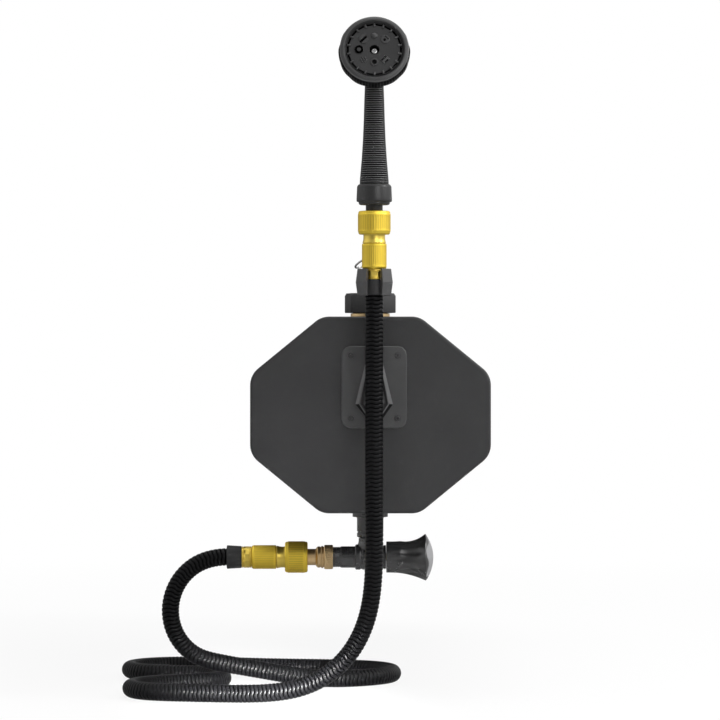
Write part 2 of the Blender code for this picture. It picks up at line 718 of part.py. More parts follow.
def build_tap():
    """The tap: body, bonnet, stem, disc and knob, all on one line along X."""
    centre = (0, FITTING_Y, TAP_Z)
    tail_end = -(TAP_LEFT + TAP_TAIL_LENGTH)
    thread_end = tail_end - TAP_THREAD_LENGTH
    body = [
        (TAP_SEAT, thread_end),
        (TAP_THREAD_RADIUS, thread_end),
        (TAP_THREAD_RADIUS, tail_end),
        (TAP_TAIL_RADIUS, tail_end),
        (TAP_TAIL_RADIUS, -TAP_LEFT),
        (TAP_RADIUS, -TAP_LEFT),
        (TAP_RADIUS, TAP_RIGHT),
        (TAP_CHAMBER, TAP_RIGHT),
        (TAP_CHAMBER, TAP_SEAT_X),
        (TAP_SEAT, TAP_SEAT_X),
    ]
    tap = turned("tap_body", body, "tap_plastic", centre, ALONG_PLUS_X)
    socket_end = -OUTLET_SOCKET_DEPTH - SEAT_GAP - TAP_Z
    thread_top = socket_end + TAP_INLET_THREAD_LENGTH
    start = TAP_CHAMBER + 1 * MM
    inlet = [
        (0, start),
        (TAP_INLET_RADIUS, start),
        (TAP_INLET_RADIUS, socket_end),
        (TAP_INLET_THREAD, socket_end),
        (TAP_INLET_THREAD, thread_top),
        (0, thread_top),
    ]
    cut(tap, turned("tap_inlet", inlet, None, centre), "UNION")
    bore_top = thread_top + CUT_OVERRUN
    bore = [(0, 0), (TAP_INLET_BORE, 0), (TAP_INLET_BORE, bore_top), (0, bore_top)]
    cut(tap, turned("tap_inlet_bore", bore, None, centre, steps=SMALL_ROUND))
    build_tap_works(centre)
    build_knob(centre)
    build_adapter(thread_end)


def build_tap_works(centre):
    """The bonnet, the stem that screws through it and the disc that closes the seat."""
    flange_start = TAP_RIGHT + SEAT_GAP
    stem_hole = STEM_RADIUS + RUNNING_GAP
    bonnet = [
        (stem_hole, TAP_RIGHT - BONNET_DEPTH),
        (BONNET_SPIGOT, TAP_RIGHT - BONNET_DEPTH),
        (BONNET_SPIGOT, flange_start),
        (BONNET_RADIUS, flange_start),
        (BONNET_RADIUS, flange_start + BONNET_FLANGE),
        (stem_hole, flange_start + BONNET_FLANGE),
    ]
    turned("tap_bonnet", bonnet, "tap_plastic", centre, ALONG_PLUS_X)
    disc_start = TAP_SEAT_X + SEAT_GAP
    disc_end = disc_start + DISC_THICKNESS
    disc = [(0, disc_start), (DISC_RADIUS, disc_start), (DISC_RADIUS, disc_end), (0, disc_end)]
    turned("tap_disc", disc, "rubber", centre, ALONG_PLUS_X, SMALL_ROUND)
    stem_start = disc_end + SEAT_GAP
    stem_end = knob_seat_x()
    stem = [(0, stem_start), (STEM_RADIUS, stem_start), (STEM_RADIUS, stem_end), (0, stem_end)]
    turned("tap_stem", stem, "raw_brass", centre, ALONG_PLUS_X, TINY_ROUND)


def knob_start_x():
    """Where the knob's small end stands, clear of the bonnet."""
    return TAP_RIGHT + 2 * SEAT_GAP + BONNET_FLANGE


def knob_seat_x():
    """Where the stem ends, under the knob's screw."""
    return knob_start_x() + KNOB_LENGTH - KNOB_DISH_DEPTH - KNOB_SCREW_WEB


def knob_radius(along):
    """The knob's radius at a share of its length: a straight neck that flares to the rim."""
    flare = max(0.0, (along - 0.2) / 0.8)
    return KNOB_NECK_RADIUS + (KNOB_RIM_RADIUS - KNOB_NECK_RADIUS) * flare**1.9


def knob_angles():
    """The angles round the knob, each with its lobe share: 1 in a lobe's middle, 0 between two."""
    count = KNOB_LOBES * KNOB_STEPS
    angles = [math.tau * i / count for i in range(count)]
    return [(angle, (1 + math.cos(KNOB_LOBES * angle)) / 2) for angle in angles]


def knob_ring(along):
    """One ring of the knob's outside, with a hollow between its lobes."""
    points = []
    flared = max(0.0, (along - 0.35) / 0.65)
    depth = KNOB_SCALLOP * flared + KNOB_WAIST_SCALLOP * math.sin(math.pi * flared)
    for angle, lobe in knob_angles():
        radius = knob_radius(along) - depth * (1 - lobe)
        height = KNOB_LENGTH * along
        if along == 1:
            height -= KNOB_RIM_WAVE * (1 - lobe)
        points.append((radius * math.cos(angle), radius * math.sin(angle), height))
    return points


def dome_height(radius):
    """The height of the knob's domed end at a radius."""
    drop = KNOB_DOME_RADIUS - math.sqrt(KNOB_DOME_RADIUS**2 - radius**2)
    return KNOB_LENGTH + KNOB_DOME - drop


def cover_ring(grow, height=None, taper=1.0):
    """The outline where cover and knob meet: drawn in at each lobe; on the dome unless given a height."""
    points = []
    for angle, lobe in knob_angles():
        edge = KNOB_PETAL_REACH * lobe + KNOB_VALLEY_REACH * (1 - lobe)
        radius = edge * taper + grow
        z = dome_height(edge) - KNOB_RIM_WAVE * (1 - lobe) if height is None else height
        points.append((radius * math.cos(angle), radius * math.sin(angle), z))
    return points


def build_knob(centre):
    """The flared knob, the screw that holds it on the stem and the domed cover over the screw."""
    start = (centre[0] + knob_start_x(), centre[1], centre[2])
    levels = [0, 0.2, 0.4, 0.55, 0.7, 0.85, 1]
    rings = [knob_ring(along) for along in levels]
    floor_z = KNOB_LENGTH - KNOB_DISH_DEPTH
    rings.append(cover_ring(SEAT_GAP))
    rings.append(cover_ring(SEAT_GAP, floor_z, KNOB_DISH_TAPER))
    knob = add_piece("tap_knob", stacked_shape(rings), "tap_plastic", start, ALONG_PLUS_X)
    stem_top = floor_z - KNOB_SCREW_WEB
    bore = STEM_RADIUS + SEAT_GAP
    bore_end = stem_top + SEAT_GAP
    socket = [(0, -CUT_OVERRUN), (bore, -CUT_OVERRUN), (bore, bore_end), (0, bore_end)]
    cut(knob, turned("knob_stem_bore", socket, None, start, ALONG_PLUS_X, TINY_ROUND))
    shank = KNOB_SCREW_SHANK
    screw_hole = [
        (0, stem_top - 2 * MM),
        (shank + SEAT_GAP, stem_top - 2 * MM),
        (shank + SEAT_GAP, floor_z + CUT_OVERRUN),
        (0, floor_z + CUT_OVERRUN),
    ]
    cut(knob, turned("knob_screw_hole", screw_hole, None, start, ALONG_PLUS_X, TINY_ROUND))
    head_low = floor_z + SEAT_GAP
    screw = [
        (0, stem_top + 2 * SEAT_GAP),
        (shank, stem_top + 2 * SEAT_GAP),
        (shank, head_low),
        (KNOB_SCREW_HEAD, head_low),
        (KNOB_SCREW_HEAD, head_low + 2 * MM),
        (0, head_low + 2 * MM),
    ]
    turned("knob_screw", screw, "steel", start, ALONG_PLUS_X, TINY_ROUND)
    build_knob_insert(start, floor_z)


def build_knob_insert(start, floor_z):
    """The domed cover in the knob's end, hollow over the screw's head."""
    low = floor_z + SEAT_GAP
    count = KNOB_LOBES * KNOB_STEPS
    hollow = KNOB_SCREW_HEAD + KNOB_COVER_HOLLOW
    middle = KNOB_PETAL_REACH * 0.66
    crown = KNOB_PETAL_REACH * 0.25
    rings = [
        polygon_ring(hollow, low + KNOB_COVER_ROOM, count),
        polygon_ring(hollow, low, count),
        cover_ring(0, low, KNOB_DISH_TAPER),
        cover_ring(0),
        polygon_ring(middle, dome_height(middle), count),
        polygon_ring(crown, dome_height(crown), count),
    ]
    add_piece("knob_insert", stacked_shape(rings), "grey_insert", start, ALONG_PLUS_X)


def nipple_tip(neck_end):
    """The tip of a nipple that a quick coupler holds, below the height where its neck ends."""
    groove_low = neck_end + NIPPLE_TIP_LENGTH - 4 * MM - NIPPLE_GROOVE
    end = neck_end + NIPPLE_TIP_LENGTH
    tip = NIPPLE_TIP_RADIUS
    groove = tip - NIPPLE_GROOVE_DEPTH
    return [
        (tip, neck_end),
        (tip, groove_low),
        (groove, groove_low),
        (groove, groove_low + NIPPLE_GROOVE),
        (tip, groove_low + NIPPLE_GROOVE),
        (tip, end),
        (NIPPLE_BORE, end),
    ]


def seal_ring(name, neck_end, place, turn):
    """The sealing ring in a nipple's groove, with a lozenge section."""
    groove_low = neck_end + NIPPLE_TIP_LENGTH - 4 * MM - NIPPLE_GROOVE
    inner = NIPPLE_TIP_RADIUS - NIPPLE_GROOVE_DEPTH + SEAT_GAP
    outer = NIPPLE_TIP_RADIUS + 0.3 * MM
    middle = groove_low + NIPPLE_GROOVE / 2
    half = NIPPLE_GROOVE / 2 - SEAT_GAP
    section = [
        (inner, middle - half / 2),
        ((inner + outer) / 2, middle - half),
        (outer, middle),
        ((inner + outer) / 2, middle + half),
        (inner, middle + half / 2),
    ]
    turned(name, section, "rubber", place, turn, SMALL_ROUND)


def build_adapter(thread_end):
    """The brass adapter that screws on the tap, and the washer and ring that seal it."""
    centre = (0, FITTING_Y, TAP_Z)
    thread_stop = -thread_end + SEAT_GAP + ADAPTER_WASHER + SEAT_GAP
    mouth = -LOWER_MOUTH_X
    washer = tube_outline(
        TAP_SEAT, TAP_THREAD_RADIUS, -thread_end + SEAT_GAP, thread_stop - SEAT_GAP
    )
    turned("adapter_washer", washer, "rubber", centre, ALONG_MINUS_X)
    collar_front = mouth - ADAPTER_LENGTH
    collar_end = collar_front + ADAPTER_COLLAR
    bulge_end = mouth - 10.2 * MM
    neck_start = mouth - 8.2 * MM
    thread_bore = TAP_THREAD_RADIUS + SEAT_GAP
    tip = nipple_tip(mouth + 1 * MM)
    outline = [
        (thread_bore, collar_front),
        (ADAPTER_COLLAR_RADIUS - 1 * MM, collar_front),
        (ADAPTER_COLLAR_RADIUS, collar_front + 0.8 * MM),
        (ADAPTER_COLLAR_RADIUS, collar_end),
        (ADAPTER_BULGE_RADIUS + 0.5 * MM, collar_end + 0.6 * MM),
        (ADAPTER_BULGE_RADIUS, bulge_end),
        (NIPPLE_NECK_RADIUS, neck_start),
        (NIPPLE_NECK_RADIUS, mouth + 1 * MM),
        *tip,
        (NIPPLE_BORE, thread_stop),
        (thread_bore, thread_stop),
    ]
    turned("hose_adapter", outline, "raw_brass", centre, ALONG_MINUS_X)
    seal_ring("adapter_seal", mouth + 1 * MM, centre, ALONG_MINUS_X)


def coupler_socket(name, place, turn):
    """The coupler's fixed body: a socket for the nipple, a neck and a thread for the sleeve."""
    bore = NIPPLE_NECK_RADIUS + RUNNING_GAP
    ring_end = COUPLER_RING_LENGTH
    shoulder_end = ring_end - 2.2 * MM
    shoulder_start = shoulder_end - COUPLER_SHOULDER
    thread_end = COUPLER_SLEEVE_START + COUPLER_THREAD_LENGTH
    outline = [
        (bore, 0.4 * MM),
        (COUPLER_SOCKET_RADIUS, 0.4 * MM),
        (COUPLER_SOCKET_RADIUS, shoulder_start),
        (COUPLER_SHOULDER_RADIUS, shoulder_start),
        (COUPLER_SHOULDER_RADIUS, shoulder_end),
        (COUPLER_NECK_RADIUS, shoulder_end + 1.2 * MM),
        (COUPLER_NECK_RADIUS, COUPLER_SLEEVE_START - SEAT_GAP),
        (COUPLER_THREAD_RADIUS, COUPLER_SLEEVE_START - SEAT_GAP),
        (COUPLER_THREAD_RADIUS, thread_end),
        (COUPLER_BORE, thread_end),
        (COUPLER_BORE, ring_end + 1 * MM),
        (bore, ring_end + 1 * MM),
    ]
    turned(name, outline, "gold_brass", place, turn)


def coupler_ring(name, place, turn):
    """The release ring, which slides back over the coupler's neck against its spring."""
    lip = COUPLER_SOCKET_RADIUS + RUNNING_GAP
    chamber = COUPLER_SHOULDER_RADIUS + RUNNING_GAP
    edge = 0.9 * MM
    outline = [
        (lip, 0),
        (COUPLER_RING_RADIUS - edge, 0),
        (COUPLER_RING_RADIUS, edge),
        (COUPLER_RING_RADIUS, COUPLER_RING_LENGTH - edge),
        (COUPLER_RING_RADIUS - edge, COUPLER_RING_LENGTH),
        (chamber, COUPLER_RING_LENGTH),
        (chamber, COUPLER_RING_LIP),
        (lip, COUPLER_RING_LIP),
    ]
    turned(name, outline, "gold_brass", place, turn)


def coupler_spring(name, place, turn):
    """The spring in the release ring's chamber, as a plain sleeve."""
    inner = COUPLER_SOCKET_RADIUS + SEAT_GAP
    low = COUPLER_RING_LIP + SEAT_GAP
    high = COUPLER_RING_LENGTH - 2.2 * MM - COUPLER_SHOULDER - SEAT_GAP
    outline = tube_outline(inner, inner + COUPLER_SPRING_WALL, low, high)
    turned(name, outline, "steel", place, turn)


def coupler_sleeve(name, place, turn):
    """The sleeve nut that holds the hose tail against the coupler's thread."""
    start = COUPLER_SLEEVE_START
    end = start + SLEEVE_LENGTH
    thread = COUPLER_THREAD_RADIUS + SEAT_GAP
    spigot = TAIL_SPIGOT + SEAT_GAP
    step = start + COUPLER_THREAD_LENGTH + 2 * MM
    outline = [
        (thread, start),
        (SLEEVE_RADIUS - 0.6 * MM, start),
        (SLEEVE_RADIUS, start + 0.6 * MM),
        (SLEEVE_RADIUS, end - 0.6 * MM),
        (SLEEVE_RADIUS - 0.6 * MM, end),
        (spigot, end),
        (spigot, step),
        (thread, step),
    ]
    turned(name, outline, "gold_brass", place, turn)


def hose_tail(name, place, turn):
    """The faceted hose tail, with a spigot into the sleeve nut and a barb into the hose."""
    start = COUPLER_TAIL_START
    end = start + TAIL_LENGTH
    barb_end = COUPLER_LENGTH + BARB_REACH
    rings = [
        polygon_ring(TAIL_SPIGOT, start - TAIL_SPIGOT_LENGTH, TAIL_FACETS),
        polygon_ring(TAIL_SPIGOT, start, TAIL_FACETS),
        polygon_ring(TAIL_RADIUS, start, TAIL_FACETS),
        polygon_ring(TAIL_RADIUS, end, TAIL_FACETS),
        polygon_ring(BARB_RADIUS, end, TAIL_FACETS),
        polygon_ring(BARB_RADIUS, barb_end, TAIL_FACETS),
        polygon_ring(BARB_RADIUS - 1.2 * MM, barb_end, TAIL_FACETS),
        polygon_ring(BARB_RADIUS - 1.2 * MM, start - TAIL_SPIGOT_LENGTH, TAIL_FACETS),
    ]
    add_piece(name, looped_shape(rings), "gold_brass", place, turn, smooth=False)


def hose_collar(name, place, turn):
    """The grey collar round the hose tail: the hose stands in it, against its floor."""
    start = COUPLER_COLLAR_START
    end = start + COLLAR_LENGTH
    floor = end - HOSE_INSERTION
    bore = BARB_RADIUS + SEAT_GAP
    socket = HOSE_RADIUS + SEAT_GAP
    outline = [
        (bore, start),
        (COLLAR_SMALL_RADIUS, start),
        (COLLAR_LARGE_RADIUS, end - 1 * MM),
        (COLLAR_LARGE_RADIUS - 0.4 * MM, end),
        (socket, end),
        (socket, floor),
        (bore, floor),
    ]
    turned(name, outline, "collar_grey", place, turn)


def build_coupler(label, place, turn):
    """One quick coupler, with its mouth at the place and its hose end along its own +Z."""
    coupler_socket(f"{label}_coupler_body", place, turn)
    coupler_ring(f"{label}_release_ring", place, turn)
    coupler_spring(f"{label}_release_spring", place, turn)
    coupler_sleeve(f"{label}_sleeve_nut", place, turn)
    hose_tail(f"{label}_hose_tail", place, turn)
    hose_collar(f"{label}_hose_collar", place, turn)


def screw_places():
    """The four plate screws as (name, across, height)."""
    half_x = SCREW_SPACING_X / 2
    half_z = SCREW_SPACING_Z / 2
    places = []
    for up, z in (("upper", PLATE_CENTRE_Z + half_z), ("lower", PLATE_CENTRE_Z - half_z)):
        for side, x in (("left", HANDSET_X - half_x), ("right", HANDSET_X + half_x)):
            places.append((f"plate_screw_{up}_{side}", x, z))
    return places


def build_bracket():
    """The plate on the front face, its screws, and the arm and cradle that hold the handset."""
    build_plate()
    for label, x, z in screw_places():
        build_screw(label, x, z)
    build_holder()


def build_plate():
    """The rounded plate with its raised, kite-shaped socket for the arm."""
    half_x = PLATE_WIDTH / 2
    half_z = PLATE_HEIGHT / 2
    corners = [(-half_x, -half_z), (half_x, -half_z), (half_x, half_z), (-half_x, half_z)]
    back = FRONT_Y - SEAT_GAP
    rings = []
    for inset, y in ((0, back), (0, PLATE_FRONT_Y + 0.8 * MM), (0.8 * MM, PLATE_FRONT_Y)):
        outline = rounded_polygon(inset_polygon(corners, inset), PLATE_CORNER - inset, 3)
        rings.append([(HANDSET_X + x, y, PLATE_CENTRE_Z + z) for x, z in outline])
    plate = add_piece("bracket_plate", stacked_shape(rings), "bracket_plastic")
    cut(plate, socket_block("plate_socket", 0, SOCKET_DEPTH, SOCKET_SLOPE, -1 * MM), "UNION")
    cut(plate, socket_block("plate_socket_hollow", SOCKET_RIM, SOCKET_DEPTH + 3 * MM, 0, 0))
    clearance = SCREW_SHANK_RADIUS + SEAT_GAP
    head = SCREW_HEAD_RADIUS + SEAT_GAP
    for label, x, z in screw_places():
        outline = [
            (0, -PLATE_THICKNESS - 2 * MM),
            (clearance, -PLATE_THICKNESS - 2 * MM),
            (clearance, -SCREW_HEAD - SEAT_GAP),
            (head, -0.2 * MM),
            (head, 2 * MM),
            (0, 2 * MM),
        ]
        turn = Euler((math.pi / 2, 0, 0))
        seat = turned(f"{label}_seat", outline, None, (x, PLATE_FRONT_Y, z), turn, TINY_ROUND)
        cut(plate, seat)


def socket_block(name, inset, depth, slope, floor):
    """A kite standing on the plate, narrowest at the top: drawn in all round, with sloping sides."""
    rings = []
    for reach, extra in ((floor, 0), (depth, slope)):
        drawn = inset + extra
        wide = SOCKET_HALF_WIDTH - drawn
        neck = SOCKET_NECK_HALF_WIDTH - drawn
        tip = SOCKET_TIP_Z + 1.3 * drawn
        top = SOCKET_TOP_Z + (inset * 2 if inset else -extra)
        outline = [
            (-neck, top),
            (-wide, SOCKET_WIDEST_Z),
            (-1.5 * MM, tip),
            (1.5 * MM, tip),
            (wide, SOCKET_WIDEST_Z),
            (neck, top),
        ]
        rings.append([(HANDSET_X + x, PLATE_FRONT_Y - reach, z) for x, z in outline])
    return add_piece(name, stacked_shape(rings), None, smooth=False)


def build_screw(label, x, z):
    """One countersunk screw of the plate."""
    head_top = -0.4 * MM
    tip = -(PLATE_THICKNESS + SEAT_GAP + SCREW_BITE)
    recess = 1.2 * MM
    outline = [
        (0, tip),
        (SCREW_SHANK_RADIUS, tip),
        (SCREW_SHANK_RADIUS, -SCREW_HEAD - SEAT_GAP),
        (SCREW_HEAD_RADIUS, head_top),
        (recess, head_top),
        (recess, head_top - 1 * MM),
        (0, head_top - 1 * MM),
    ]
    turn = Euler((math.pi / 2, 0, 0))
    turned(label, outline, "black_steel", (x, PLATE_FRONT_Y, z), turn, TINY_ROUND)


def arm_section(z, half_width, rear, front):
    """One level of the arm: four corners, with a narrower face towards the handset."""
    ridge = half_width * ARM_RIDGE
    return [
        (HANDSET_X - half_width, PLATE_FRONT_Y - rear, z),
        (HANDSET_X + half_width, PLATE_FRONT_Y - rear, z),
        (HANDSET_X + ridge, PLATE_FRONT_Y - front, z),
        (HANDSET_X - ridge, PLATE_FRONT_Y - front, z),
    ]


def build_holder():
    """The arm from the plate's socket up to the open-fronted cradle, in one piece."""
    cradle_low = CRADLE_TOP_Z - CRADLE_HEIGHT
    cradle_rear = PLATE_FRONT_Y - (HANDSET_Y + CRADLE_RADIUS)
    bed = cradle_rear + (CRADLE_RADIUS - CRADLE_BORE) * 0.6
    levels = [
        arm_section(ARM_ROOT_TIP_Z, 1 * MM, SEAT_GAP, 1.5 * MM),
        arm_section(SOCKET_WIDEST_Z + 1 * MM, ARM_ROOT_HALF_WIDTH, SEAT_GAP, ARM_ROOT_DEPTH),
        arm_section(SOCKET_TOP_Z - 8 * MM, ARM_HALF_WIDTH - 1.8 * MM, SEAT_GAP, ARM_ROOT_DEPTH + 1 * MM),
        arm_section(SOCKET_TOP_Z + 14 * MM, ARM_HALF_WIDTH - 1 * MM, 2 * MM, ARM_ROOT_DEPTH + 4 * MM),
        arm_section(cradle_low - 4 * MM, ARM_HALF_WIDTH, bed - ARM_THICKNESS, bed - 1 * MM),
        arm_section(CRADLE_TOP_Z - 3 * MM, ARM_HALF_WIDTH, bed - ARM_THICKNESS * 0.75, bed),
    ]
    holder = add_piece("handset_holder", stacked_shape(levels), "bracket_plastic", smooth=False)
    place = (HANDSET_X, HANDSET_Y, 0)
    eighth = math.pi / 8
    rings = [
        polygon_ring(CRADLE_END_RADIUS / math.cos(eighth), cradle_low, 8, eighth),
        polygon_ring(CRADLE_RADIUS / math.cos(eighth), cradle_low + CRADLE_HEIGHT / 2, 8, eighth),
        polygon_ring(CRADLE_END_RADIUS / math.cos(eighth), CRADLE_TOP_Z, 8, eighth),
    ]
    cut(holder, add_piece("cradle_block", stacked_shape(rings), None, place), "UNION")
    low = cradle_low - 2 * CUT_OVERRUN
    high = CRADLE_TOP_Z + 2 * CUT_OVERRUN
    bore = stacked_shape([polygon_ring(CRADLE_BORE, low, ROUND), polygon_ring(CRADLE_BORE, high, ROUND)])
    cut(holder, add_piece("cradle_bore", bore, None, place))
    throat_y = HANDSET_Y - CRADLE_BORE * 0.8
    mouth_y = HANDSET_Y - CRADLE_RADIUS - 1 * MM
    rings = []
    for z in (low, high):
        rings.append(
            [
                (HANDSET_X - CRADLE_THROAT / 2, throat_y, z),
                (HANDSET_X - CRADLE_GAP / 2, mouth_y, z),
                (HANDSET_X + CRADLE_GAP / 2, mouth_y, z),
                (HANDSET_X + CRADLE_THROAT / 2, throat_y, z),
            ]
        )
    cut(holder, add_piece("cradle_mouth", stacked_shape(rings), None, smooth=False))


def build_spray_head():
    """The handset: nipple, base, handle, head shell and the dial that picks the spray."""
    place = (HANDSET_X, HANDSET_Y, 0)
    build_handset_nipple()
    lip_top = BASE_BOTTOM_Z + BASE_LIP
    base_top = HANDLE_BOTTOM_Z - SEAT_GAP
    roof = base_top - 3 * MM
    neck_hole = NIPPLE_NECK_RADIUS + SEAT_GAP
    throat = HANDLE_BORE + 2.2 * MM
    base = [
        (neck_hole, BASE_BOTTOM_Z),
        (BASE_LIP_RADIUS, BASE_BOTTOM_Z),
        (BASE_LIP_RADIUS, lip_top),
        (BASE_BOTTOM_RADIUS, lip_top),
        (BASE_BOTTOM_RADIUS, lip_top + 2 * MM),
        (BASE_TOP_RADIUS, base_top - 1 * MM),
        (BASE_TOP_RADIUS - 1 * MM, base_top),
        (throat + SEAT_GAP, base_top),
        (throat + SEAT_GAP, roof),
        (BASE_SOCKET, roof),
        (BASE_SOCKET, lip_top),
        (neck_hole, lip_top),
    ]
    turned("handset_base", base, "black_plastic", place)
    build_handle(place, throat, roof)
    build_head()


def build_handset_nipple():
    """The handset's plug, which turns in the upper coupler."""
    start = (HANDSET_X, HANDSET_Y, UPPER_MOUTH_Z)
    foot = BASE_BOTTOM_Z + BASE_LIP - UPPER_MOUTH_Z
    flange = foot + SEAT_GAP
    neck_end = 1 * MM
    outline = [
        (BASE_SOCKET - SEAT_GAP, -flange - 4 * MM),
        (BASE_SOCKET - SEAT_GAP, -flange),
        (NIPPLE_NECK_RADIUS, -flange),
        (NIPPLE_NECK_RADIUS, neck_end),
        *nipple_tip(neck_end),
        (NIPPLE_BORE, -flange - 4 * MM),
    ]
    turned("handset_nipple", outline, "black_plastic", start, UPSIDE_DOWN)
    seal_ring("handset_seal", neck_end, start, UPSIDE_DOWN)


def build_handle(place, throat, roof):
    """The tapered, hollow handle, with a spigot that the base holds."""
    spigot_low = BASE_BOTTOM_Z + BASE_LIP + 2 * SEAT_GAP + 4 * MM
    flange_high = roof - SEAT_GAP
    outline = [
        (HANDLE_BORE, spigot_low),
        (BASE_SOCKET - SEAT_GAP, spigot_low),
        (BASE_SOCKET - SEAT_GAP, flange_high),
        (throat, flange_high),
        (throat, HANDLE_BOTTOM_Z),
        (HANDLE_BOTTOM_RADIUS, HANDLE_BOTTOM_Z),
        (HANDLE_MIDDLE_RADIUS + 1.2 * MM, (HANDLE_BOTTOM_Z + HANDLE_MIDDLE_Z) / 2 + 2 * MM),
        (HANDLE_MIDDLE_RADIUS - 0.6 * MM, HANDLE_MIDDLE_Z),
        (HANDLE_TOP_RADIUS, HANDLE_TOP_Z - HANDLE_OVERLAP),
        (HANDLE_TOP_RADIUS, HANDLE_TOP_Z + HANDLE_OVERLAP),
        (HANDLE_BORE, HANDLE_TOP_Z + HANDLE_OVERLAP),
    ]
    handle = turned("handset_handle", outline, "grip_plastic", place)
    face = face_place()
    back = DIAL_LENGTH + SEAT_GAP
    clearance = shell_outline(SEAT_GAP, back)
    cut(handle, turned("handle_top_cut", clearance, None, face, HEAD_TURN))


def face_place():
    """The middle of the spray face."""
    return (HANDSET_X, HANDSET_Y - HEAD_FORWARD, FACE_CENTRE_Z)


def shell_outline(grow, start):
    """The outside of the bowl behind the dial, as a solid outline; own +Z runs out of the face."""
    radius = SHELL_RADIUS + grow
    length = SHELL_LENGTH + grow
    points = [(0, -start + grow), (radius, -start + grow)]
    for i in range(1, 6):
        angle = math.pi / 2 * i / 6
        points.append((radius * math.cos(angle), -start - length * math.sin(angle)))
    points.append((0, -start - length))
    return points


def build_head():
    """The bowl behind the spray face, the dial, the nozzle plate and the screw that holds it."""
    face = face_place()
    back = DIAL_LENGTH + SEAT_GAP
    shell = turned("head_shell", shell_outline(0, back), "black_plastic", face, HEAD_TURN)
    hollow_radius = SHELL_RADIUS - SHELL_WALL
    hollow = [(SHELL_POST_RADIUS, -back + 2 * MM), (hollow_radius, -back + 2 * MM)]
    for i in range(1, 5):
        angle = math.pi / 2 * i / 5
        depth = (SHELL_LENGTH - SHELL_WALL) * math.sin(angle)
        hollow.append((max(hollow_radius * math.cos(angle), SHELL_POST_RADIUS + 1 * MM), -back - depth))
    hollow.append((SHELL_POST_RADIUS, hollow[-1][1]))
    cut(shell, turned("head_hollow", hollow, None, face, HEAD_TURN))
    waterway = stacked_shape(
        [
            polygon_ring(HANDLE_BORE, HANDLE_TOP_Z - WATERWAY_BELOW, TINY_ROUND),
            polygon_ring(HANDLE_BORE, HANDLE_TOP_Z + WATERWAY_ABOVE, TINY_ROUND),
        ]
    )
    cut(shell, add_piece("head_waterway", waterway, None, (HANDSET_X, HANDSET_Y, 0)))
    screw_bore = DIAL_SCREW_SHANK + SEAT_GAP
    mouth = -back + 4 * MM
    end = -back - 8 * MM
    bore = [(0, mouth), (screw_bore, mouth), (screw_bore, end), (0, end)]
    cut(shell, turned("head_screw_bore", bore, None, face, HEAD_TURN, TINY_ROUND))
    build_dial(face)
    build_nozzle(face, back)


def dial_ring_points(radius, height, depth):
    """One ring of the dial: a circle with shallow grip hollows between its lobes."""
    points = []
    count = DIAL_LOBES * 4
    for i in range(count):
        angle = math.tau * i / count
        wave = (1 + math.cos(DIAL_LOBES * angle)) / 2
        reach = radius - depth * (1 - wave)
        points.append((reach * math.cos(angle), reach * math.sin(angle), height))
    return points


def build_dial(face):
    """The ring that turns the nozzle plate, lobed at the back for the fingers."""
    grip = DIAL_LOBE_RADIUS - DIAL_WAIST_RADIUS
    bore = FACE_RADIUS - DIAL_RIM
    rings = [
        dial_ring_points(FACE_RADIUS - 0.8 * MM, 0, 0),
        dial_ring_points(FACE_RADIUS, -1 * MM, 0),
        dial_ring_points(FACE_RADIUS, -5 * MM, 0),
        dial_ring_points(DIAL_LOBE_RADIUS, -9 * MM, grip),
        dial_ring_points(DIAL_LOBE_RADIUS, -DIAL_LENGTH, grip),
        dial_ring_points(bore, -DIAL_LENGTH, 0),
        dial_ring_points(bore, 0, 0),
    ]
    add_piece("spray_dial", looped_shape(rings), "grip_plastic", face, HEAD_TURN)


def build_nozzle(face, back):
    """The nozzle plate inside the dial, and its centre screw."""
    radius = FACE_RADIUS - DIAL_RIM - SEAT_GAP
    top = -DIAL_RECESS
    low = -DIAL_LENGTH
    hole = DIAL_SCREW_SHANK + RUNNING_GAP
    head = DIAL_SCREW_HEAD + RUNNING_GAP
    outline = [
        (hole, low),
        (radius, low),
        (radius, top),
        (head + 1.5 * MM, top),
        (head, top - 0.4 * MM),
        (head, top - DIAL_SCREW_THICKNESS - SEAT_GAP),
        (hole, top - DIAL_SCREW_THICKNESS - SEAT_GAP),
    ]
    turned("nozzle_plate", outline, "black_plastic", face, HEAD_TURN)
    seat = top - DIAL_SCREW_THICKNESS
    screw = [
        (0, seat + DIAL_SCREW_THICKNESS - 0.4 * MM),
        (DIAL_SCREW_HEAD, seat + DIAL_SCREW_THICKNESS - 0.4 * MM),
        (DIAL_SCREW_HEAD, seat),
        (DIAL_SCREW_SHANK, seat),
        (DIAL_SCREW_SHANK, -back - 6 * MM),
        (0, -back - 6 * MM),
    ]
    turned("dial_screw", screw, "steel", face, HEAD_TURN, TINY_ROUND)


def hose_points():
    """The route's points in the part's frame, with a straight run into each collar."""
    reach = COUPLER_LENGTH - HOSE_INSERTION + SEAT_GAP
    lower_end = LOWER_MOUTH_X - reach
    upper_end = UPPER_MOUTH_Z - reach
    points = [(lower_end, FITTING_Y, TAP_Z)]
    for x, back, z in HOSE_ROUTE:
        points.append((x * MM, HANDSET_Y + back * MM, z * MM))
    points.append((HANDSET_X, HANDSET_Y, upper_end - 2 * HOSE_RADIUS))
    points.append((HANDSET_X, HANDSET_Y, upper_end))
    return np.array(points)


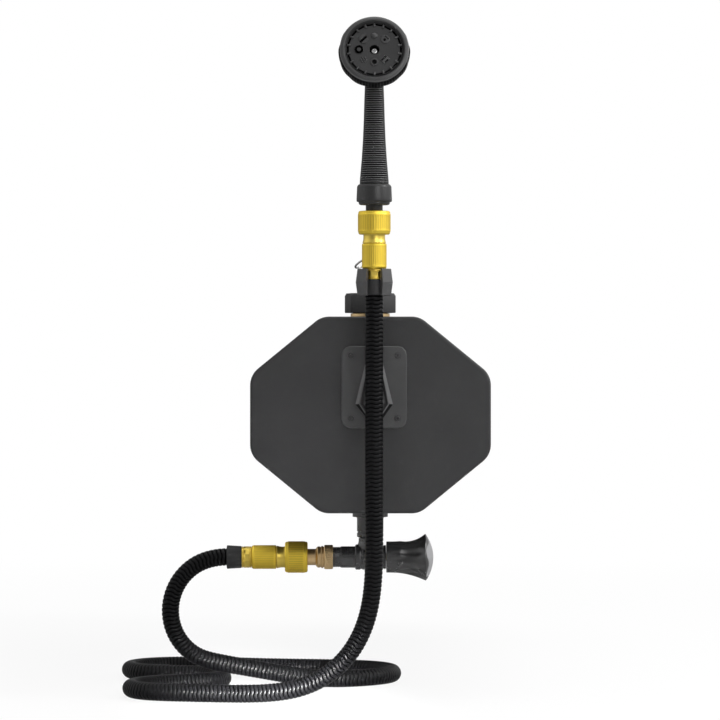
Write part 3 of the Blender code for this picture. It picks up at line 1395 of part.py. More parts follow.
def smooth_route(points, samples=8000):
    """A cubic curve through the points with steady bending, as evenly spaced samples and their distances."""
    spans = np.linalg.norm(np.diff(points, axis=0), axis=1)
    places = np.concatenate([[0], np.cumsum(spans)])
    count = len(points)
    balance = np.eye(count)
    pull = np.zeros((count, 3))
    for i in range(1, count - 1):
        balance[i, i - 1 : i + 2] = (spans[i - 1], 2 * (spans[i - 1] + spans[i]), spans[i])
        ahead = (points[i + 1] - points[i]) / spans[i]
        behind = (points[i] - points[i - 1]) / spans[i - 1]
        pull[i] = 6 * (ahead - behind)
    bend = np.linalg.solve(balance, pull)
    along = np.linspace(0, places[-1], samples)
    piece = np.clip(np.searchsorted(places, along, side="right") - 1, 0, count - 2)
    span = spans[piece][:, None]
    done = (along - places[piece])[:, None]
    left = span - done
    curved = (bend[piece] * left**3 + bend[piece + 1] * done**3) / (6 * span)
    start = (points[piece] / span - bend[piece] * span / 6) * left
    finish = (points[piece + 1] / span - bend[piece + 1] * span / 6) * done
    line = curved + start + finish
    distance = np.concatenate([[0], np.cumsum(np.linalg.norm(np.diff(line, axis=0), axis=1))])
    return line, distance


def points_along(line, distance, places):
    """The curve's points at the given distances from its start."""
    return np.stack([np.interp(places, distance, line[:, axis]) for axis in range(3)], axis=1)


def tube(name, points, radii, resolution, finish):
    """A solid tube along straight steps between the points, with its own radius at each."""
    curve = bpy.data.curves.new(f"{name}_line", "CURVE")
    curve.dimensions = "3D"
    curve.bevel_depth = 1.0
    curve.bevel_resolution = resolution
    curve.use_fill_caps = True
    curve.twist_mode = "MINIMUM"
    spline = curve.splines.new("POLY")
    spline.points.add(len(points) - 1)
    for target, point, radius in zip(spline.points, points, radii):
        target.co = (*point, 1)
        target.radius = radius
    line = bpy.data.objects.new(f"{name}_line", curve)
    bpy.context.scene.collection.objects.link(line)
    bpy.context.view_layer.update()
    shape = bmesh.new()
    shape.from_mesh(line.to_mesh())
    line.to_mesh_clear()
    bpy.data.objects.remove(line, do_unlink=True)
    bmesh.ops.remove_doubles(shape, verts=shape.verts, dist=0.01 * MM)
    return add_piece(name, shape, finish)


def least_gap(line, distance):
    """The least gap between stretches of the hose that aren't neighbours."""
    places = np.arange(0, distance[-1], 3 * MM)
    points = points_along(line, distance, places)
    apart = np.linalg.norm(points[:, None] - points[None], axis=2)
    near = np.abs(places[:, None] - places[None]) < 6 * HOSE_RADIUS
    apart[near] = np.inf
    return float(apart.min()) - 2 * HOSE_RADIUS


def build_hose():
    """The ribbed hose from the lower coupler, round its loops and up to the handset's coupler."""
    line, distance = smooth_route(hose_points())
    length = distance[-1]
    pitch = length / HOSE_RIBS
    places = np.sort(np.concatenate([np.arange(HOSE_RIBS) * pitch, np.arange(HOSE_RIBS) * pitch + pitch * 0.6]))
    places = np.append(places, length)
    radii = np.where(np.arange(len(places)) % 2 == 0, HOSE_RADIUS, HOSE_GROOVE_RADIUS)
    hose = tube("shower_hose", points_along(line, distance, places), radii, 2, "hose_black")
    rings = np.linspace(0, length, HOSE_BORE_RINGS)
    middle = points_along(line, distance, rings)
    start = middle[0] + np.array((HOSE_BORE_OVERRUN, 0, 0))
    end = middle[-1] + np.array((0, 0, HOSE_BORE_OVERRUN))
    middle = np.vstack([start, middle[1:-1], end])
    bore = tube("hose_bore", middle, [HOSE_BORE_RADIUS] * len(middle), 2, None)
    cut(hose, bore)
    print(f"hose length {length:.4f} m, least gap to itself {least_gap(line, distance) / MM:.2f} mm")


def main():
    """Builds the whole shower tank."""
    clear_scene()
    build_tank()
    build_filler()
    build_relief_valve()
    build_outlet()
    build_tap()
    lower = (LOWER_MOUTH_X, FITTING_Y, TAP_Z)
    upper = (HANDSET_X, HANDSET_Y, UPPER_MOUTH_Z)
    build_coupler("lower", lower, ALONG_MINUS_X)
    build_coupler("upper", upper, UPSIDE_DOWN)
    build_bracket()
    build_spray_head()
    build_hose()


main()
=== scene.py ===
"""The looks of the roof rack shower tank, built round the CAD frame.

Every length is in millimetres, in the part's own frame: X right, Y into the picture, Z up. Only the
studio is in metres. Surfaces are grids of points worked out as whole arrays, whose columns close on
themselves; the formula is in each docstring. Profiles are (radius, height) pairs about an axis.
"""

import logging
import math
from collections.abc import Callable, Sequence
from dataclasses import dataclass
from enum import Enum
from functools import cache

import bmesh
import bpy
import numpy as np
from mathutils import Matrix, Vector


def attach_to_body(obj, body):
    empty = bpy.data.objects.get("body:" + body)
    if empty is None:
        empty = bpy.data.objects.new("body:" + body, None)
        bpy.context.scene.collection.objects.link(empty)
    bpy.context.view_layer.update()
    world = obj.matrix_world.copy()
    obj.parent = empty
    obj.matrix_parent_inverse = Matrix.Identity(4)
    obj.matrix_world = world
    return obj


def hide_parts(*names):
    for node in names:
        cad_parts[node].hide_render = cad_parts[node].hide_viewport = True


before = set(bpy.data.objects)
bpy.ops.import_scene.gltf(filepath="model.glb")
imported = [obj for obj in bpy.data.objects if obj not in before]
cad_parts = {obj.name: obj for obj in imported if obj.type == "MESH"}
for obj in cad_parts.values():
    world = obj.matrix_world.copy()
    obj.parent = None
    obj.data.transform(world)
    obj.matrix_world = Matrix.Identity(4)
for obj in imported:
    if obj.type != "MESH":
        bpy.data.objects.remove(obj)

MM = 0.001
BLACK = (0, 0, 0, 1)
WHITE = (1, 1, 1, 1)
Array = np.ndarray
Place = tuple[float, float, float]
Profile = Sequence[tuple[float, float]]
Socket = bpy.types.NodeSocket
Source = Socket | float | Sequence[float]
log = logging.getLogger("shower_tank")


# Shader building blocks


class Shader:
    """A node tree under construction: makes nodes, sets their sockets and links them.

    A source is an output, which is linked to the socket, or a value, which the socket takes.
    """

    def __init__(self, tree: bpy.types.NodeTree) -> None:
        """Starts on the tree of a material, a world or a group."""
        self.tree = tree

    def add(
        self, kind: str, settings: dict | None = None, numbered: dict | None = None, **named: Source
    ) -> bpy.types.Node:
        """Adds a node.

        Args:
            kind: the node's type name without its ShaderNode prefix.
            settings: properties of the node itself.
            numbered: input number to source.
            named: the same by input name, with _ for a space.

        Returns:
            The new node.
        """
        node = self.tree.nodes.new(f"ShaderNode{kind}")
        for name, value in (settings or {}).items():
            setattr(node, name, value)
        for number, value in (numbered or {}).items():
            self.feed(node.inputs[number], value)
        for name, value in named.items():
            self.feed(node.inputs[name.replace("_", " ")], value)
        return node

    def feed(self, socket: Socket, value: Source) -> None:
        """Sets a socket.

        Args:
            socket: the input.
            value: its source.
        """
        if isinstance(value, Socket):
            self.tree.links.new(value, socket)
        else:
            socket.default_value = value

    def maths(self, operation: str, a: Source, b: Source, clamp: bool = False) -> Socket:
        """The output of a Math node, clamped to 0 and 1 or not."""
        settings = {"operation": operation, "use_clamp": clamp}
        return self.add("Math", settings, {0: a, 1: b}).outputs[0]

    def spread(self, value: Source, low: float, high: float, start: float, end: float) -> Socket:
        """Maps a value's range start to end on to low to high, and returns the output."""
        numbered = {0: value, 1: start, 2: end, 3: low, 4: high}
        return self.add("MapRange", {"clamp": True}, numbered).outputs[0]

    def blend(self, factor: Source, dark: Source, light: Source) -> Socket:
        """Mixes two colours by a factor that may pass 1, and returns the output."""
        settings = {"data_type": "RGBA", "blend_type": "MIX", "clamp_factor": False}
        return self.add("Mix", settings, {0: factor, 6: dark, 7: light}).outputs[2]

    def noise(self, where: Source, scale: Source, detail: float, rough: float = 0.5) -> Socket:
        """The grey output of a Noise Texture."""
        node = self.add("TexNoise", Vector=where, Scale=scale, Detail=detail, Roughness=rough)
        return node.outputs["Fac"]

    def place(self) -> Socket:
        """The output of Texture Coordinate that gives a point on the object, in metres."""
        return self.add("TexCoord").outputs["Object"]


def new_group(
    name: str, amount: str, masks: Sequence[str]
) -> tuple[Shader, bpy.types.NodeOutputs, bpy.types.NodeInputs]:
    """Starts a node group that takes a vector and an amount, and gives masks.

    Args:
        name: the group's name.
        amount: the name of its second input, a number that is 1 unless it is set.
        masks: the names of its outputs.

    Returns:
        The shader under construction, what it is given, and what it has to give.
    """
    tree = bpy.data.node_groups.new(name, "ShaderNodeTree")
    new_socket = tree.interface.new_socket
    new_socket("Vector", in_out="INPUT", socket_type="NodeSocketVector")
    new_socket(amount, in_out="INPUT", socket_type="NodeSocketFloat").default_value = 1.0
    for mask in masks:
        new_socket(mask, in_out="OUTPUT", socket_type="NodeSocketFloat")
    given, made = tree.nodes.new("NodeGroupInput"), tree.nodes.new("NodeGroupOutput")
    return Shader(tree), given.outputs, made.inputs


def grain_group() -> bpy.types.NodeTree:
    """Fine surface grain: noise of a given size as a height, and a slow noise as a mottle mask.

    Returns:
        The group: Vector and Size in millimetres in, Height and Mottle out.
    """
    shader, given, made = new_group("surface_grain", "Size", ("Height", "Mottle"))
    scale = shader.maths("DIVIDE", 1000.0, given["Size"])
    slow = shader.noise(given["Vector"], 28.0, 4.0, 0.6)
    shader.feed(made["Height"], shader.noise(given["Vector"], scale, 2.0, 0.55))
    shader.feed(made["Mottle"], shader.spread(slow, 0.0, 1.0, 0.3, 0.7))
    return shader.tree


def handling_group() -> bpy.types.NodeTree:
    """Marks of handling: sparse fine scratches and soft rubbed patches.

    Returns:
        The group: Vector and Amount in, Scratches and Rub out, both from 0 to the amount.
    """
    shader, given, made = new_group("handling_marks", "Amount", ("Scratches", "Rub"))
    stretch = {"Rotation": (0.4, 0.9, 0.2), "Scale": (900, 60, 420)}
    stretched = shader.add("Mapping", Vector=given["Vector"], **stretch).outputs[0]
    sparse = shader.spread(shader.noise(stretched, 1.0, 3.0, 0.7), 0.0, 1.0, 0.66, 0.74)
    patches = shader.spread(shader.noise(given["Vector"], 45.0, 3.0), 0.0, 1.0, 0.45, 0.72)
    shader.feed(made["Scratches"], shader.maths("MULTIPLY", sparse, given["Amount"]))
    shader.feed(made["Rub"], shader.maths("MULTIPLY", patches, given["Amount"]))
    return shader.tree


GRAIN = grain_group()
HANDLING = handling_group()


class Skin(Shader):
    """A finish under construction: a material with its surface shader, grain and handling marks."""

    def __init__(self, name: str, grain: float, handled: float) -> None:
        """Starts the material.

        Args:
            name: its name.
            grain: the size of its grain in millimetres.
            handled: how strong its marks of handling are.
        """
        self.made = bpy.data.materials.new(name)
        self.made.use_nodes = True
        super().__init__(self.made.node_tree)
        self.inputs = self.tree.nodes["Principled BSDF"].inputs
        where = self.place()
        grain_node = self.add("Group", {"node_tree": GRAIN}, Vector=where, Size=grain)
        marks_node = self.add("Group", {"node_tree": HANDLING}, Vector=where, Amount=handled)
        self.height, self.mottle = grain_node.outputs["Height"], grain_node.outputs["Mottle"]
        self.scratches, self.rub = marks_node.outputs["Scratches"], marks_node.outputs["Rub"]

    def light(self, painted_shading: float) -> Socket:
        """Painted light on a point: 1 - cavity at 0 (painted shade), 1 at 1 and 1 + cavity at 2
        (painted highlight).
        """
        painted_light_here = self.add("Attribute", {"attribute_name": "open"}).outputs["Fac"]
        return self.spread(painted_light_here, 1 - painted_shading, 1 + painted_shading, 0.0, 2.0)

    def end(
        self, rough: Source, more: Source, height: Source, depth: float, reach: float
    ) -> bpy.types.Material:
        """Sets the roughness and the bump.

        Args:
            rough: the roughness.
            more: what is added to it; the sum stays between 0 and 1.
            height: the bump's height.
            depth: its strength.
            reach: its distance in metres.

        Returns:
            The material.
        """
        self.feed(self.inputs["Roughness"], self.maths("ADD", rough, more, clamp=True))
        bump = self.add("Bump", Strength=depth, Distance=reach, Height=height)
        self.feed(self.inputs["Normal"], bump.outputs[0])
        return self.made


class Feel(Enum):
    """How a moulded or coated surface is finished: the swing of its roughness."""

    SATIN = 0.05
    MATT = 0.08
    GLOSS = 0.04


@dataclass(frozen=True)
class Coating:
    """A moulded plastic, rubber or powder-coated finish.

    Colour is linear; grain is the size of the surface's grain in millimetres, depth is how strong
    it shows and reach is its bump's distance in metres; lift is how much lighter the mottle is;
    cavity is the strength of the painted light, painted shade that darkens grooves and a painted
    highlight that lightens crests, where a piece carries its own painted light values; handled is
    how strong the marks of handling are, with scratches paler by scratch_lift.
    """

    name: str
    slot: str
    colour: Place
    feel: Feel
    roughness: float
    grain: float
    depth: float
    lift: float = 1.2
    specular: float = 0.5
    painted_shading: float = 0.0
    handled: float = 0.6
    scratch_lift: float = 0.012
    scratch_share: float = 0.35
    reach: float = 0.0004

    def material(self) -> bpy.types.Material:
        """Builds the finish.

        Colour = mix(colour, lift * colour) by the mottle, a little lighter along scratches, and times
        the painted light on the point: painted shade in grooves and a painted highlight on crests.
        Roughness = base, spread by the mottle and lowered where the surface is rubbed. Normal = bump
        of the grain.

        Returns:
            The material.
        """
        skin = Skin(self.name, self.grain, self.handled)
        lifted = [part * self.lift for part in self.colour]
        scratched = [part + self.scratch_lift for part in lifted]
        base = skin.blend(skin.mottle, (*self.colour, 1), (*lifted, 1))
        share = skin.maths("MULTIPLY", skin.scratches, self.scratch_share)
        wear_and_painted_light = skin.blend(share, base, (*scratched, 1))
        specular = skin.inputs["Specular IOR Level"]
        skin.feed(specular, self.specular)
        # Painted light: grooves get painted shade and crests a painted highlight, in colour and in
        # reflection.
        if self.painted_shading:
            light = skin.light(self.painted_shading)
            wear_and_painted_light = skin.blend(light, BLACK, wear_and_painted_light)
            skin.feed(specular, skin.maths("MULTIPLY", light, self.specular))
        skin.feed(skin.inputs["Base Color"], wear_and_painted_light)
        swing = self.feel.value
        rough = skin.spread(skin.mottle, self.roughness - swing, self.roughness + swing, 0.0, 1.0)
        rubbed = skin.maths("MULTIPLY", skin.rub, -swing)
        return skin.end(rough, rubbed, skin.height, self.depth, self.reach)


@dataclass(frozen=True)
class Metal:
    """A turned, plated or plain metal finish.

    Colour and shade are linear and tarnish is the shade's share; turned is how much of the bump is
    grain, and depth how strong the bump is; wear and scuff are what rubbing and scratches add to
    the roughness; grain, reach, cavity and handled are as for a coating, cavity being the strength
    of the painted shade in flutes and the painted highlight on their crests.
    """

    name: str
    slot: str
    colour: Place
    shade: Place
    roughness: float
    tarnish: float = 0.4
    turned: float = 0.0
    depth: float = 0.05
    painted_shading: float = 0.0
    grain: float = 0.5
    handled: float = 1.0
    wear: float = 0.08
    scuff: float = 0.15
    reach: float = 0.0002

    def material(self) -> bpy.types.Material:
        """Builds the finish.

        Colour = mix(colour, shade) by the mottle times the tarnish, and times the painted light on the
        point: painted shade in flutes and a painted highlight on crests. Roughness = base, raised by
        rubbing and scratches. Normal = bump of the scratches and the grain.

        Returns:
            The material.
        """
        skin = Skin(self.name, self.grain, self.handled)
        share = skin.maths("MULTIPLY", skin.mottle, self.tarnish)
        colour = skin.blend(share, (*self.colour, 1), (*self.shade, 1))
        # Painted light: painted shade in flutes and a painted highlight on their crests.
        if self.painted_shading:
            colour = skin.blend(skin.light(self.painted_shading), BLACK, colour)
        skin.feed(skin.inputs["Base Color"], colour)
        skin.feed(skin.inputs["Metallic"], 1.0)
        rough = skin.spread(skin.rub, self.roughness, self.roughness + self.wear, 0.0, 1.0)
        scratched = skin.maths("MULTIPLY", skin.scratches, self.scuff)
        relief = skin.maths("ADD", skin.scratches, skin.maths("MULTIPLY", skin.height, self.turned))
        return skin.end(rough, scratched, relief, self.depth, self.reach)


class Finish(Enum):
    """Every finish on the tank and its fittings."""

    TANK = Coating(
        "powder_coat", "tank_coat", (0.027, 0.027, 0.028), Feel.SATIN,
        roughness=0.55, grain=1.1, depth=0.16, specular=0.35,
    )
    BRACKET = Coating(
        "bracket_moulding", "bracket_plastic", (0.04, 0.04, 0.041), Feel.MATT,
        roughness=0.46, grain=0.7, depth=0.1, lift=1.15, specular=0.6, painted_shading=0.9,
    )
    SCREW = Coating(
        "blackened_steel", "black_steel", (0.03, 0.03, 0.031), Feel.SATIN,
        roughness=0.45, grain=0.6, depth=0.05, lift=1.35,
    )
    CAP = Coating(
        "cap_moulding", "cap_plastic", (0.058, 0.058, 0.059), Feel.MATT,
        roughness=0.5, grain=0.7, depth=0.1, lift=1.15, specular=0.1,
    )
    TAP = Coating(
        "tap_moulding", "tap_plastic", (0.02, 0.02, 0.0205), Feel.SATIN,
        roughness=0.3, grain=0.8, depth=0.04, specular=1.0,
    )
    INSERT = Coating(
        "pale_insert", "insert_plastic", (0.27, 0.27, 0.277), Feel.SATIN,
        roughness=0.35, grain=0.8, depth=0.05, lift=1.1,
    )
    GRIP = Coating(
        "soft_grip", "grip_plastic", (0.033, 0.033, 0.0335), Feel.MATT,
        roughness=0.4, grain=0.5, depth=0.03, specular=0.42, painted_shading=1.0,
    )
    HEAD = Coating(
        "head_moulding", "head_plastic", (0.022, 0.022, 0.0225), Feel.GLOSS,
        roughness=0.38, grain=0.6, depth=0.05, lift=1.15, specular=0.45, painted_shading=0.95,
    )
    HOSE = Coating(
        "hose_skin", "hose_plastic", (0.002, 0.002, 0.0023), Feel.GLOSS,
        roughness=0.42, grain=0.5, depth=0.02, specular=0.08, painted_shading=1.0,
    )
    COLLAR = Coating(
        "grey_collar", "collar_plastic", (0.018, 0.018, 0.0185), Feel.SATIN,
        roughness=0.5, grain=0.7, depth=0.08, specular=0.35,
    )
    RUBBER = Coating(
        "black_rubber", "rubber", (0.014, 0.014, 0.014), Feel.MATT,
        roughness=0.75, grain=0.6, depth=0.12, lift=1.35,
    )
    GOLD = Metal(
        "satin_gold", "gold_brass", (0.92, 0.68, 0.09), (0.86, 0.62, 0.07),
        roughness=0.5, depth=0.01, painted_shading=1.0,
    )
    POLISHED = Metal(
        "polished_gold", "gold_brass", (0.92, 0.7, 0.14), (0.86, 0.6, 0.1),
        roughness=0.36, depth=0.0, painted_shading=1.0,
    )
    BRASS = Metal(
        "turned_brass", "raw_brass", (0.82, 0.6, 0.32), (0.66, 0.45, 0.22),
        roughness=0.32, tarnish=0.5, turned=0.3, depth=0.02,
    )
    STEEL = Metal(
        "bright_steel", "steel", (0.62, 0.62, 0.62), (0.5, 0.5, 0.51), roughness=0.24, turned=0.4
    )


@cache
def material_of(finish: Finish) -> bpy.types.Material:
    """The finish's material, built the first time that it is asked for."""
    return finish.value.material()


# Surfaces


@dataclass
class Grid:
    """A closed grid of points, as rows, columns and 3.

    A looped grid's last row joins its first; another is closed by a face over each end. Its painted
    light value, for each point or for all, is 1 on the plain surface, 0 for painted shade deep in a
    groove and up to 2 for a painted highlight on a crest that catches the light.
    """

    rows: Array
    loop: bool = True
    open: Array | float = 1.0

    def faces(self) -> list[Array]:
        """Its faces, turned outwards: quad (i, j) joins rows i and i + 1 at columns j and j + 1.

        The sum of a . (b x c) + a . (c x d) over the quads abcd, from the middle, has the sign of
        the volume inside, and where it is negative, every face is turned over.

        Returns:
            The quads and, unless it is looped, the two end faces, as arrays of point numbers.
        """
        count, columns = self.rows.shape[:2]
        points = self.rows.reshape(-1, 3)
        row = np.arange(count if self.loop else count - 1)[:, None] * columns
        j = np.arange(columns)
        following, after = (row + columns) % len(points), (j + 1) % columns
        quads = np.stack([row + j, row + after, following + after, following + j], axis=-1)
        quads = quads.reshape(-1, 4)
        ends = [] if self.loop else [j[None, ::-1], len(points) - columns + j[None, :]]
        a, b, c, d = np.moveaxis((points - points.mean(axis=0))[quads], 1, 0)
        turn = 1 if np.sum(a * (np.cross(b, c) + np.cross(c, d))) > 0 else -1
        return [face[:, ::turn] for face in (quads, *ends)]


def new_object(name: str, data: bpy.types.ID) -> bpy.types.Object:
    """Puts an object into the scene.

    Args:
        name: its name.
        data: its mesh, lamp or camera.

    Returns:
        The object.
    """
    made = bpy.data.objects.new(name, data)
    bpy.context.scene.collection.objects.link(made)
    return made


def attach(made: bpy.types.Object, finish: Finish, body: str, node: str) -> None:
    """Gives an object its finish and its place in the frame.

    Args:
        made: the object.
        finish: its finish.
        body: the CAD body that it moves with.
        node: the CAD node that it replaces.
    """
    made.data.materials.clear()
    made.data.materials.append(material_of(finish))
    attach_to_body(made, body)
    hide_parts(node)
    log.info("built %s for %s", made.name, node)


def piece(
    name: str, finish: Finish, node: str, *grids: Grid, body: str = "tank", sharp: float = 38.0
) -> bpy.types.Object:
    """Makes one object of closed grids.

    Args:
        name: the object's name.
        finish: its finish.
        node: the CAD node that it replaces.
        grids: what it is made of.
        body: the CAD body that it moves with.
        sharp: the angle in degrees from which an edge is sharp.

    Returns:
        The object.
    """
    starts = np.cumsum([0] + [grid.rows[..., 0].size for grid in grids])
    faces = [face + start for grid, start in zip(grids, starts) for face in grid.faces()]
    sizes = np.concatenate([np.full(len(face), face.shape[1]) for face in faces])
    painted_light_values = [np.broadcast_to(grid.open, grid.rows.shape[:2]).ravel() for grid in grids]
    mesh = bpy.data.meshes.new(name)
    mesh.vertices.add(starts[-1])
    mesh.vertices.foreach_set("co", np.concatenate([grid.rows.ravel() for grid in grids]) * MM)
    mesh.loops.add(sizes.sum())
    mesh.loops.foreach_set("vertex_index", np.concatenate([face.ravel() for face in faces]))
    mesh.polygons.add(len(sizes))
    mesh.polygons.foreach_set("loop_start", np.cumsum(sizes) - sizes)
    mesh.update(calc_edges=True)
    # Painted light per point: painted shade below 1 and a painted highlight above it.
    mesh.attributes.new("open", "FLOAT", "POINT").data.foreach_set("value", np.concatenate(painted_light_values))
    mesh.validate()
    mesh.shade_smooth()
    mesh.set_sharp_from_angle(angle=math.radians(sharp))
    made = new_object(name, mesh)
    attach(made, finish, body, node)
    return made


def refined(
    node: str,
    finish: Finish,
    body: str = "tank",
    bevel: float = 0.4,
    reshape: Callable[[Array], Array] | None = None,
    painted_light_of: Callable[[Array], Array] | None = None,
) -> None:
    """Makes a copy of a CAD node with its triangles joined and its edges rounded, in its place.

    Args:
        node: the CAD node.
        finish: the copy's finish.
        body: the body that it moves with.
        bevel: the width of the rounding.
        reshape: an optional function that takes the copy's points and gives new ones.
        painted_light_of: an optional function of the faces' middles that gives each face's painted
            light value.
    """
    shape = bmesh.new()
    shape.from_mesh(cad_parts[node].data)
    bmesh.ops.remove_doubles(shape, verts=shape.verts, dist=0.02 * MM)
    bmesh.ops.dissolve_limit(
        shape, angle_limit=math.radians(1), verts=shape.verts, edges=shape.edges, delimit={"NORMAL"}
    )
    mesh = bpy.data.meshes.new(f"{node}_fine")
    shape.to_mesh(mesh)
    shape.free()
    if reshape:
        points = np.empty(3 * len(mesh.vertices))
        mesh.vertices.foreach_get("co", points)
        mesh.vertices.foreach_set("co", (reshape(points.reshape(-1, 3) / MM) * MM).ravel())
        mesh.update()
    # Painted light per face: painted shade below 1 and a painted highlight above it.
    if painted_light_of:
        middles = np.empty(3 * len(mesh.polygons))
        mesh.polygons.foreach_get("center", middles)
        shade = painted_light_of(middles.reshape(-1, 3) / MM)
        mesh.attributes.new("open", "FLOAT", "FACE").data.foreach_set("value", shade)
    mesh.shade_smooth()
    mesh.set_sharp_from_angle(angle=math.radians(35))
    made = new_object(mesh.name, mesh)
    edges = made.modifiers.new("edges", "BEVEL")
    edges.width = bevel * MM
    edges.segments = 3
    edges.limit_method = "ANGLE"
    edges.angle_limit = math.radians(30)
    edges.harden_normals = True
    attach(made, finish, body, node)


def dress(finish: Finish, *nodes: str) -> None:
    """Gives CAD nodes that stay as they are a finish.

    Args:
        finish: the finish.
        nodes: the CAD nodes.
    """
    for node in nodes:
        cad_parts[node].data.materials.clear()
        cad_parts[node].data.materials.append(material_of(finish))
        log.info("dressed %s", node)


def around(steps: int) -> Array:
    """Even angles once round, as a row."""
    return np.linspace(0, math.tau, steps, endpoint=False)


def band(height: Array, low: float, high: float, edge: float) -> Array:
    """A mask that is 1 between low and high and falls smoothly to 0 over the edge's width."""
    both = np.clip((height - low) / edge, 0, 1) * np.clip((high - height) / edge, 0, 1)
    return both * both * (3 - 2 * both)


def soften(profile: Profile, radius: float, steps: int = 3) -> Array:
    """Rounds the corners of a closed outline.

    Each corner P becomes a quadratic curve from P - r u to P + r v, with u and v the directions in
    and out, and r the radius or 45% of the shorter side.

    Args:
        profile: the corners.
        radius: how far from a corner the rounding starts.
        steps: points on each rounding, less one.

    Returns:
        The rounded outline as an array.
    """
    corner = np.array(profile, float)
    before = corner - np.roll(corner, 1, axis=0)
    after = np.roll(corner, -1, axis=0) - corner
    reach_in = np.linalg.norm(before, axis=1, keepdims=True)
    reach_out = np.linalg.norm(after, axis=1, keepdims=True)
    reach = np.minimum(radius, 0.45 * np.minimum(reach_in, reach_out))
    start = (corner - before / reach_in * reach)[:, None]
    end = (corner + after / reach_out * reach)[:, None]
    t = np.linspace(0, 1, steps + 1)[None, :, None]
    curve = (1 - t) ** 2 * start + 2 * t * (1 - t) * corner[:, None] + t**2 * end
    return curve.reshape(-1, 2)


def densify(profile: Array, step: float) -> Array:
    """Adds points along a closed outline.

    Point k of the n on a side from P to Q is P + (Q - P) k / n.

    Args:
        profile: the outline.
        step: the greatest length of a side.

    Returns:
        The outline with more points.
    """
    after = np.roll(profile, -1, axis=0)
    counts = np.maximum(1, np.ceil(np.linalg.norm(after - profile, axis=1) / step)).astype(int)
    side = np.repeat(np.arange(len(profile)), counts)
    first = np.cumsum(counts) - counts
    share = ((np.arange(counts.sum()) - first[side]) / counts[side])[:, None]
    return profile[side] * (1 - share) + after[side] * share


@dataclass(frozen=True)
class Axis:
    """A line to turn on: its origin, and the directions of own Z (along) and own X (side)."""

    origin: Place
    along: Place
    side: Place

    def put(self, x: Array, y: Array, z: Array) -> Array:
        """Places points at origin + x side + y (along x side) + z along.

        Args:
            x: places on own X, of a shape that fits the other two.
            y: places on own Y.
            z: places on own Z.

        Returns:
            The points, with the three numbers of each last.
        """
        x, y, z = (part[..., None] for part in np.broadcast_arrays(x, y, z))
        origin, along, side = np.array([self.origin, self.along, self.side], float)
        return origin + x * side + y * np.cross(along, side) + z * along

    def polar(self, radius: Array, angle: Array, height: Array) -> Array:
        """Points at (radius cos angle, radius sin angle, height) from the axis, placed."""
        return self.put(radius * np.cos(angle), radius * np.sin(angle), height)

    def rings(self, angle: Array, rows: Sequence, loop: bool = True) -> Grid:
        """A grid of (radius, height) rows, which are numbers or vary with the angle."""
        radius, height = (np.stack([row[k] + 0 * angle for row in rows]) for k in range(2))
        return Grid(self.polar(radius, angle, height), loop)

    def turned(
        self,
        outline: Array,
        steps: int,
        relief: Callable[[Array, Array, Array], Array] | None = None,
        flute_shade: float = 0.0,
    ) -> Grid:
        """Turns a closed outline about the axis.

        Point (r, z) of it at angle a is put at ((r + relief) cos a, (r + relief) sin a, z).

        Args:
            outline: (radius, height) pairs.
            steps: points round the axis.
            relief: an optional function of angle row, radius column and height column that gives
                the change of radius.
            flute_shade: how much painted shade a point gets for each millimetre that the relief takes
                off.

        Returns:
            The looped grid. With flute_shade, its crests have a painted light value of 1.12, a painted
            highlight, and its flutes painted shade.
        """
        angle, radius, height = around(steps), outline[:, :1], outline[:, 1:]
        change = relief(angle, radius, height) if relief else 0.0
        # Painted light: painted shade in the flutes and a painted highlight on their crests.
        painted_lit = np.clip(1.12 + flute_shade * change, 0.2, 2) if flute_shade else 1.0
        return Grid(self.polar(radius + change, angle, height + 0 * angle), open=painted_lit)


FITTINGS_Y = -390.0
TAP_Z = -49.2
LOWER_MOUTH_X = -64.4
UPPER_MOUTH_Z = 300.8
HANDSET = (3.6, -543.0)
HEAD_TILT = math.radians(16)
DOWN_PIPE = Axis((0, FITTINGS_Y, 0), (0, 0, 1), (1, 0, 0))
TAP_LINE = Axis((0, FITTINGS_Y, TAP_Z), (1, 0, 0), (0, 0, -1))
HOSE_OUTLET = Axis((0, FITTINGS_Y, TAP_Z), (-1, 0, 0), (0, 0, 1))
LOWER_COUPLER = Axis((LOWER_MOUTH_X, FITTINGS_Y, TAP_Z), (-1, 0, 0), (0, 0, 1))
UPPER_COUPLER = Axis((*HANDSET, UPPER_MOUTH_Z), (0, 0, -1), (1, 0, 0))
HANDLE_LINE = Axis((*HANDSET, 0), (0, 0, 1), (1, 0, 0))
FACE_LINE = Axis((3.6, -569, 459.4), (0, -math.cos(HEAD_TILT), math.sin(HEAD_TILT)), (1, 0, 0))


# The tank and its fittings


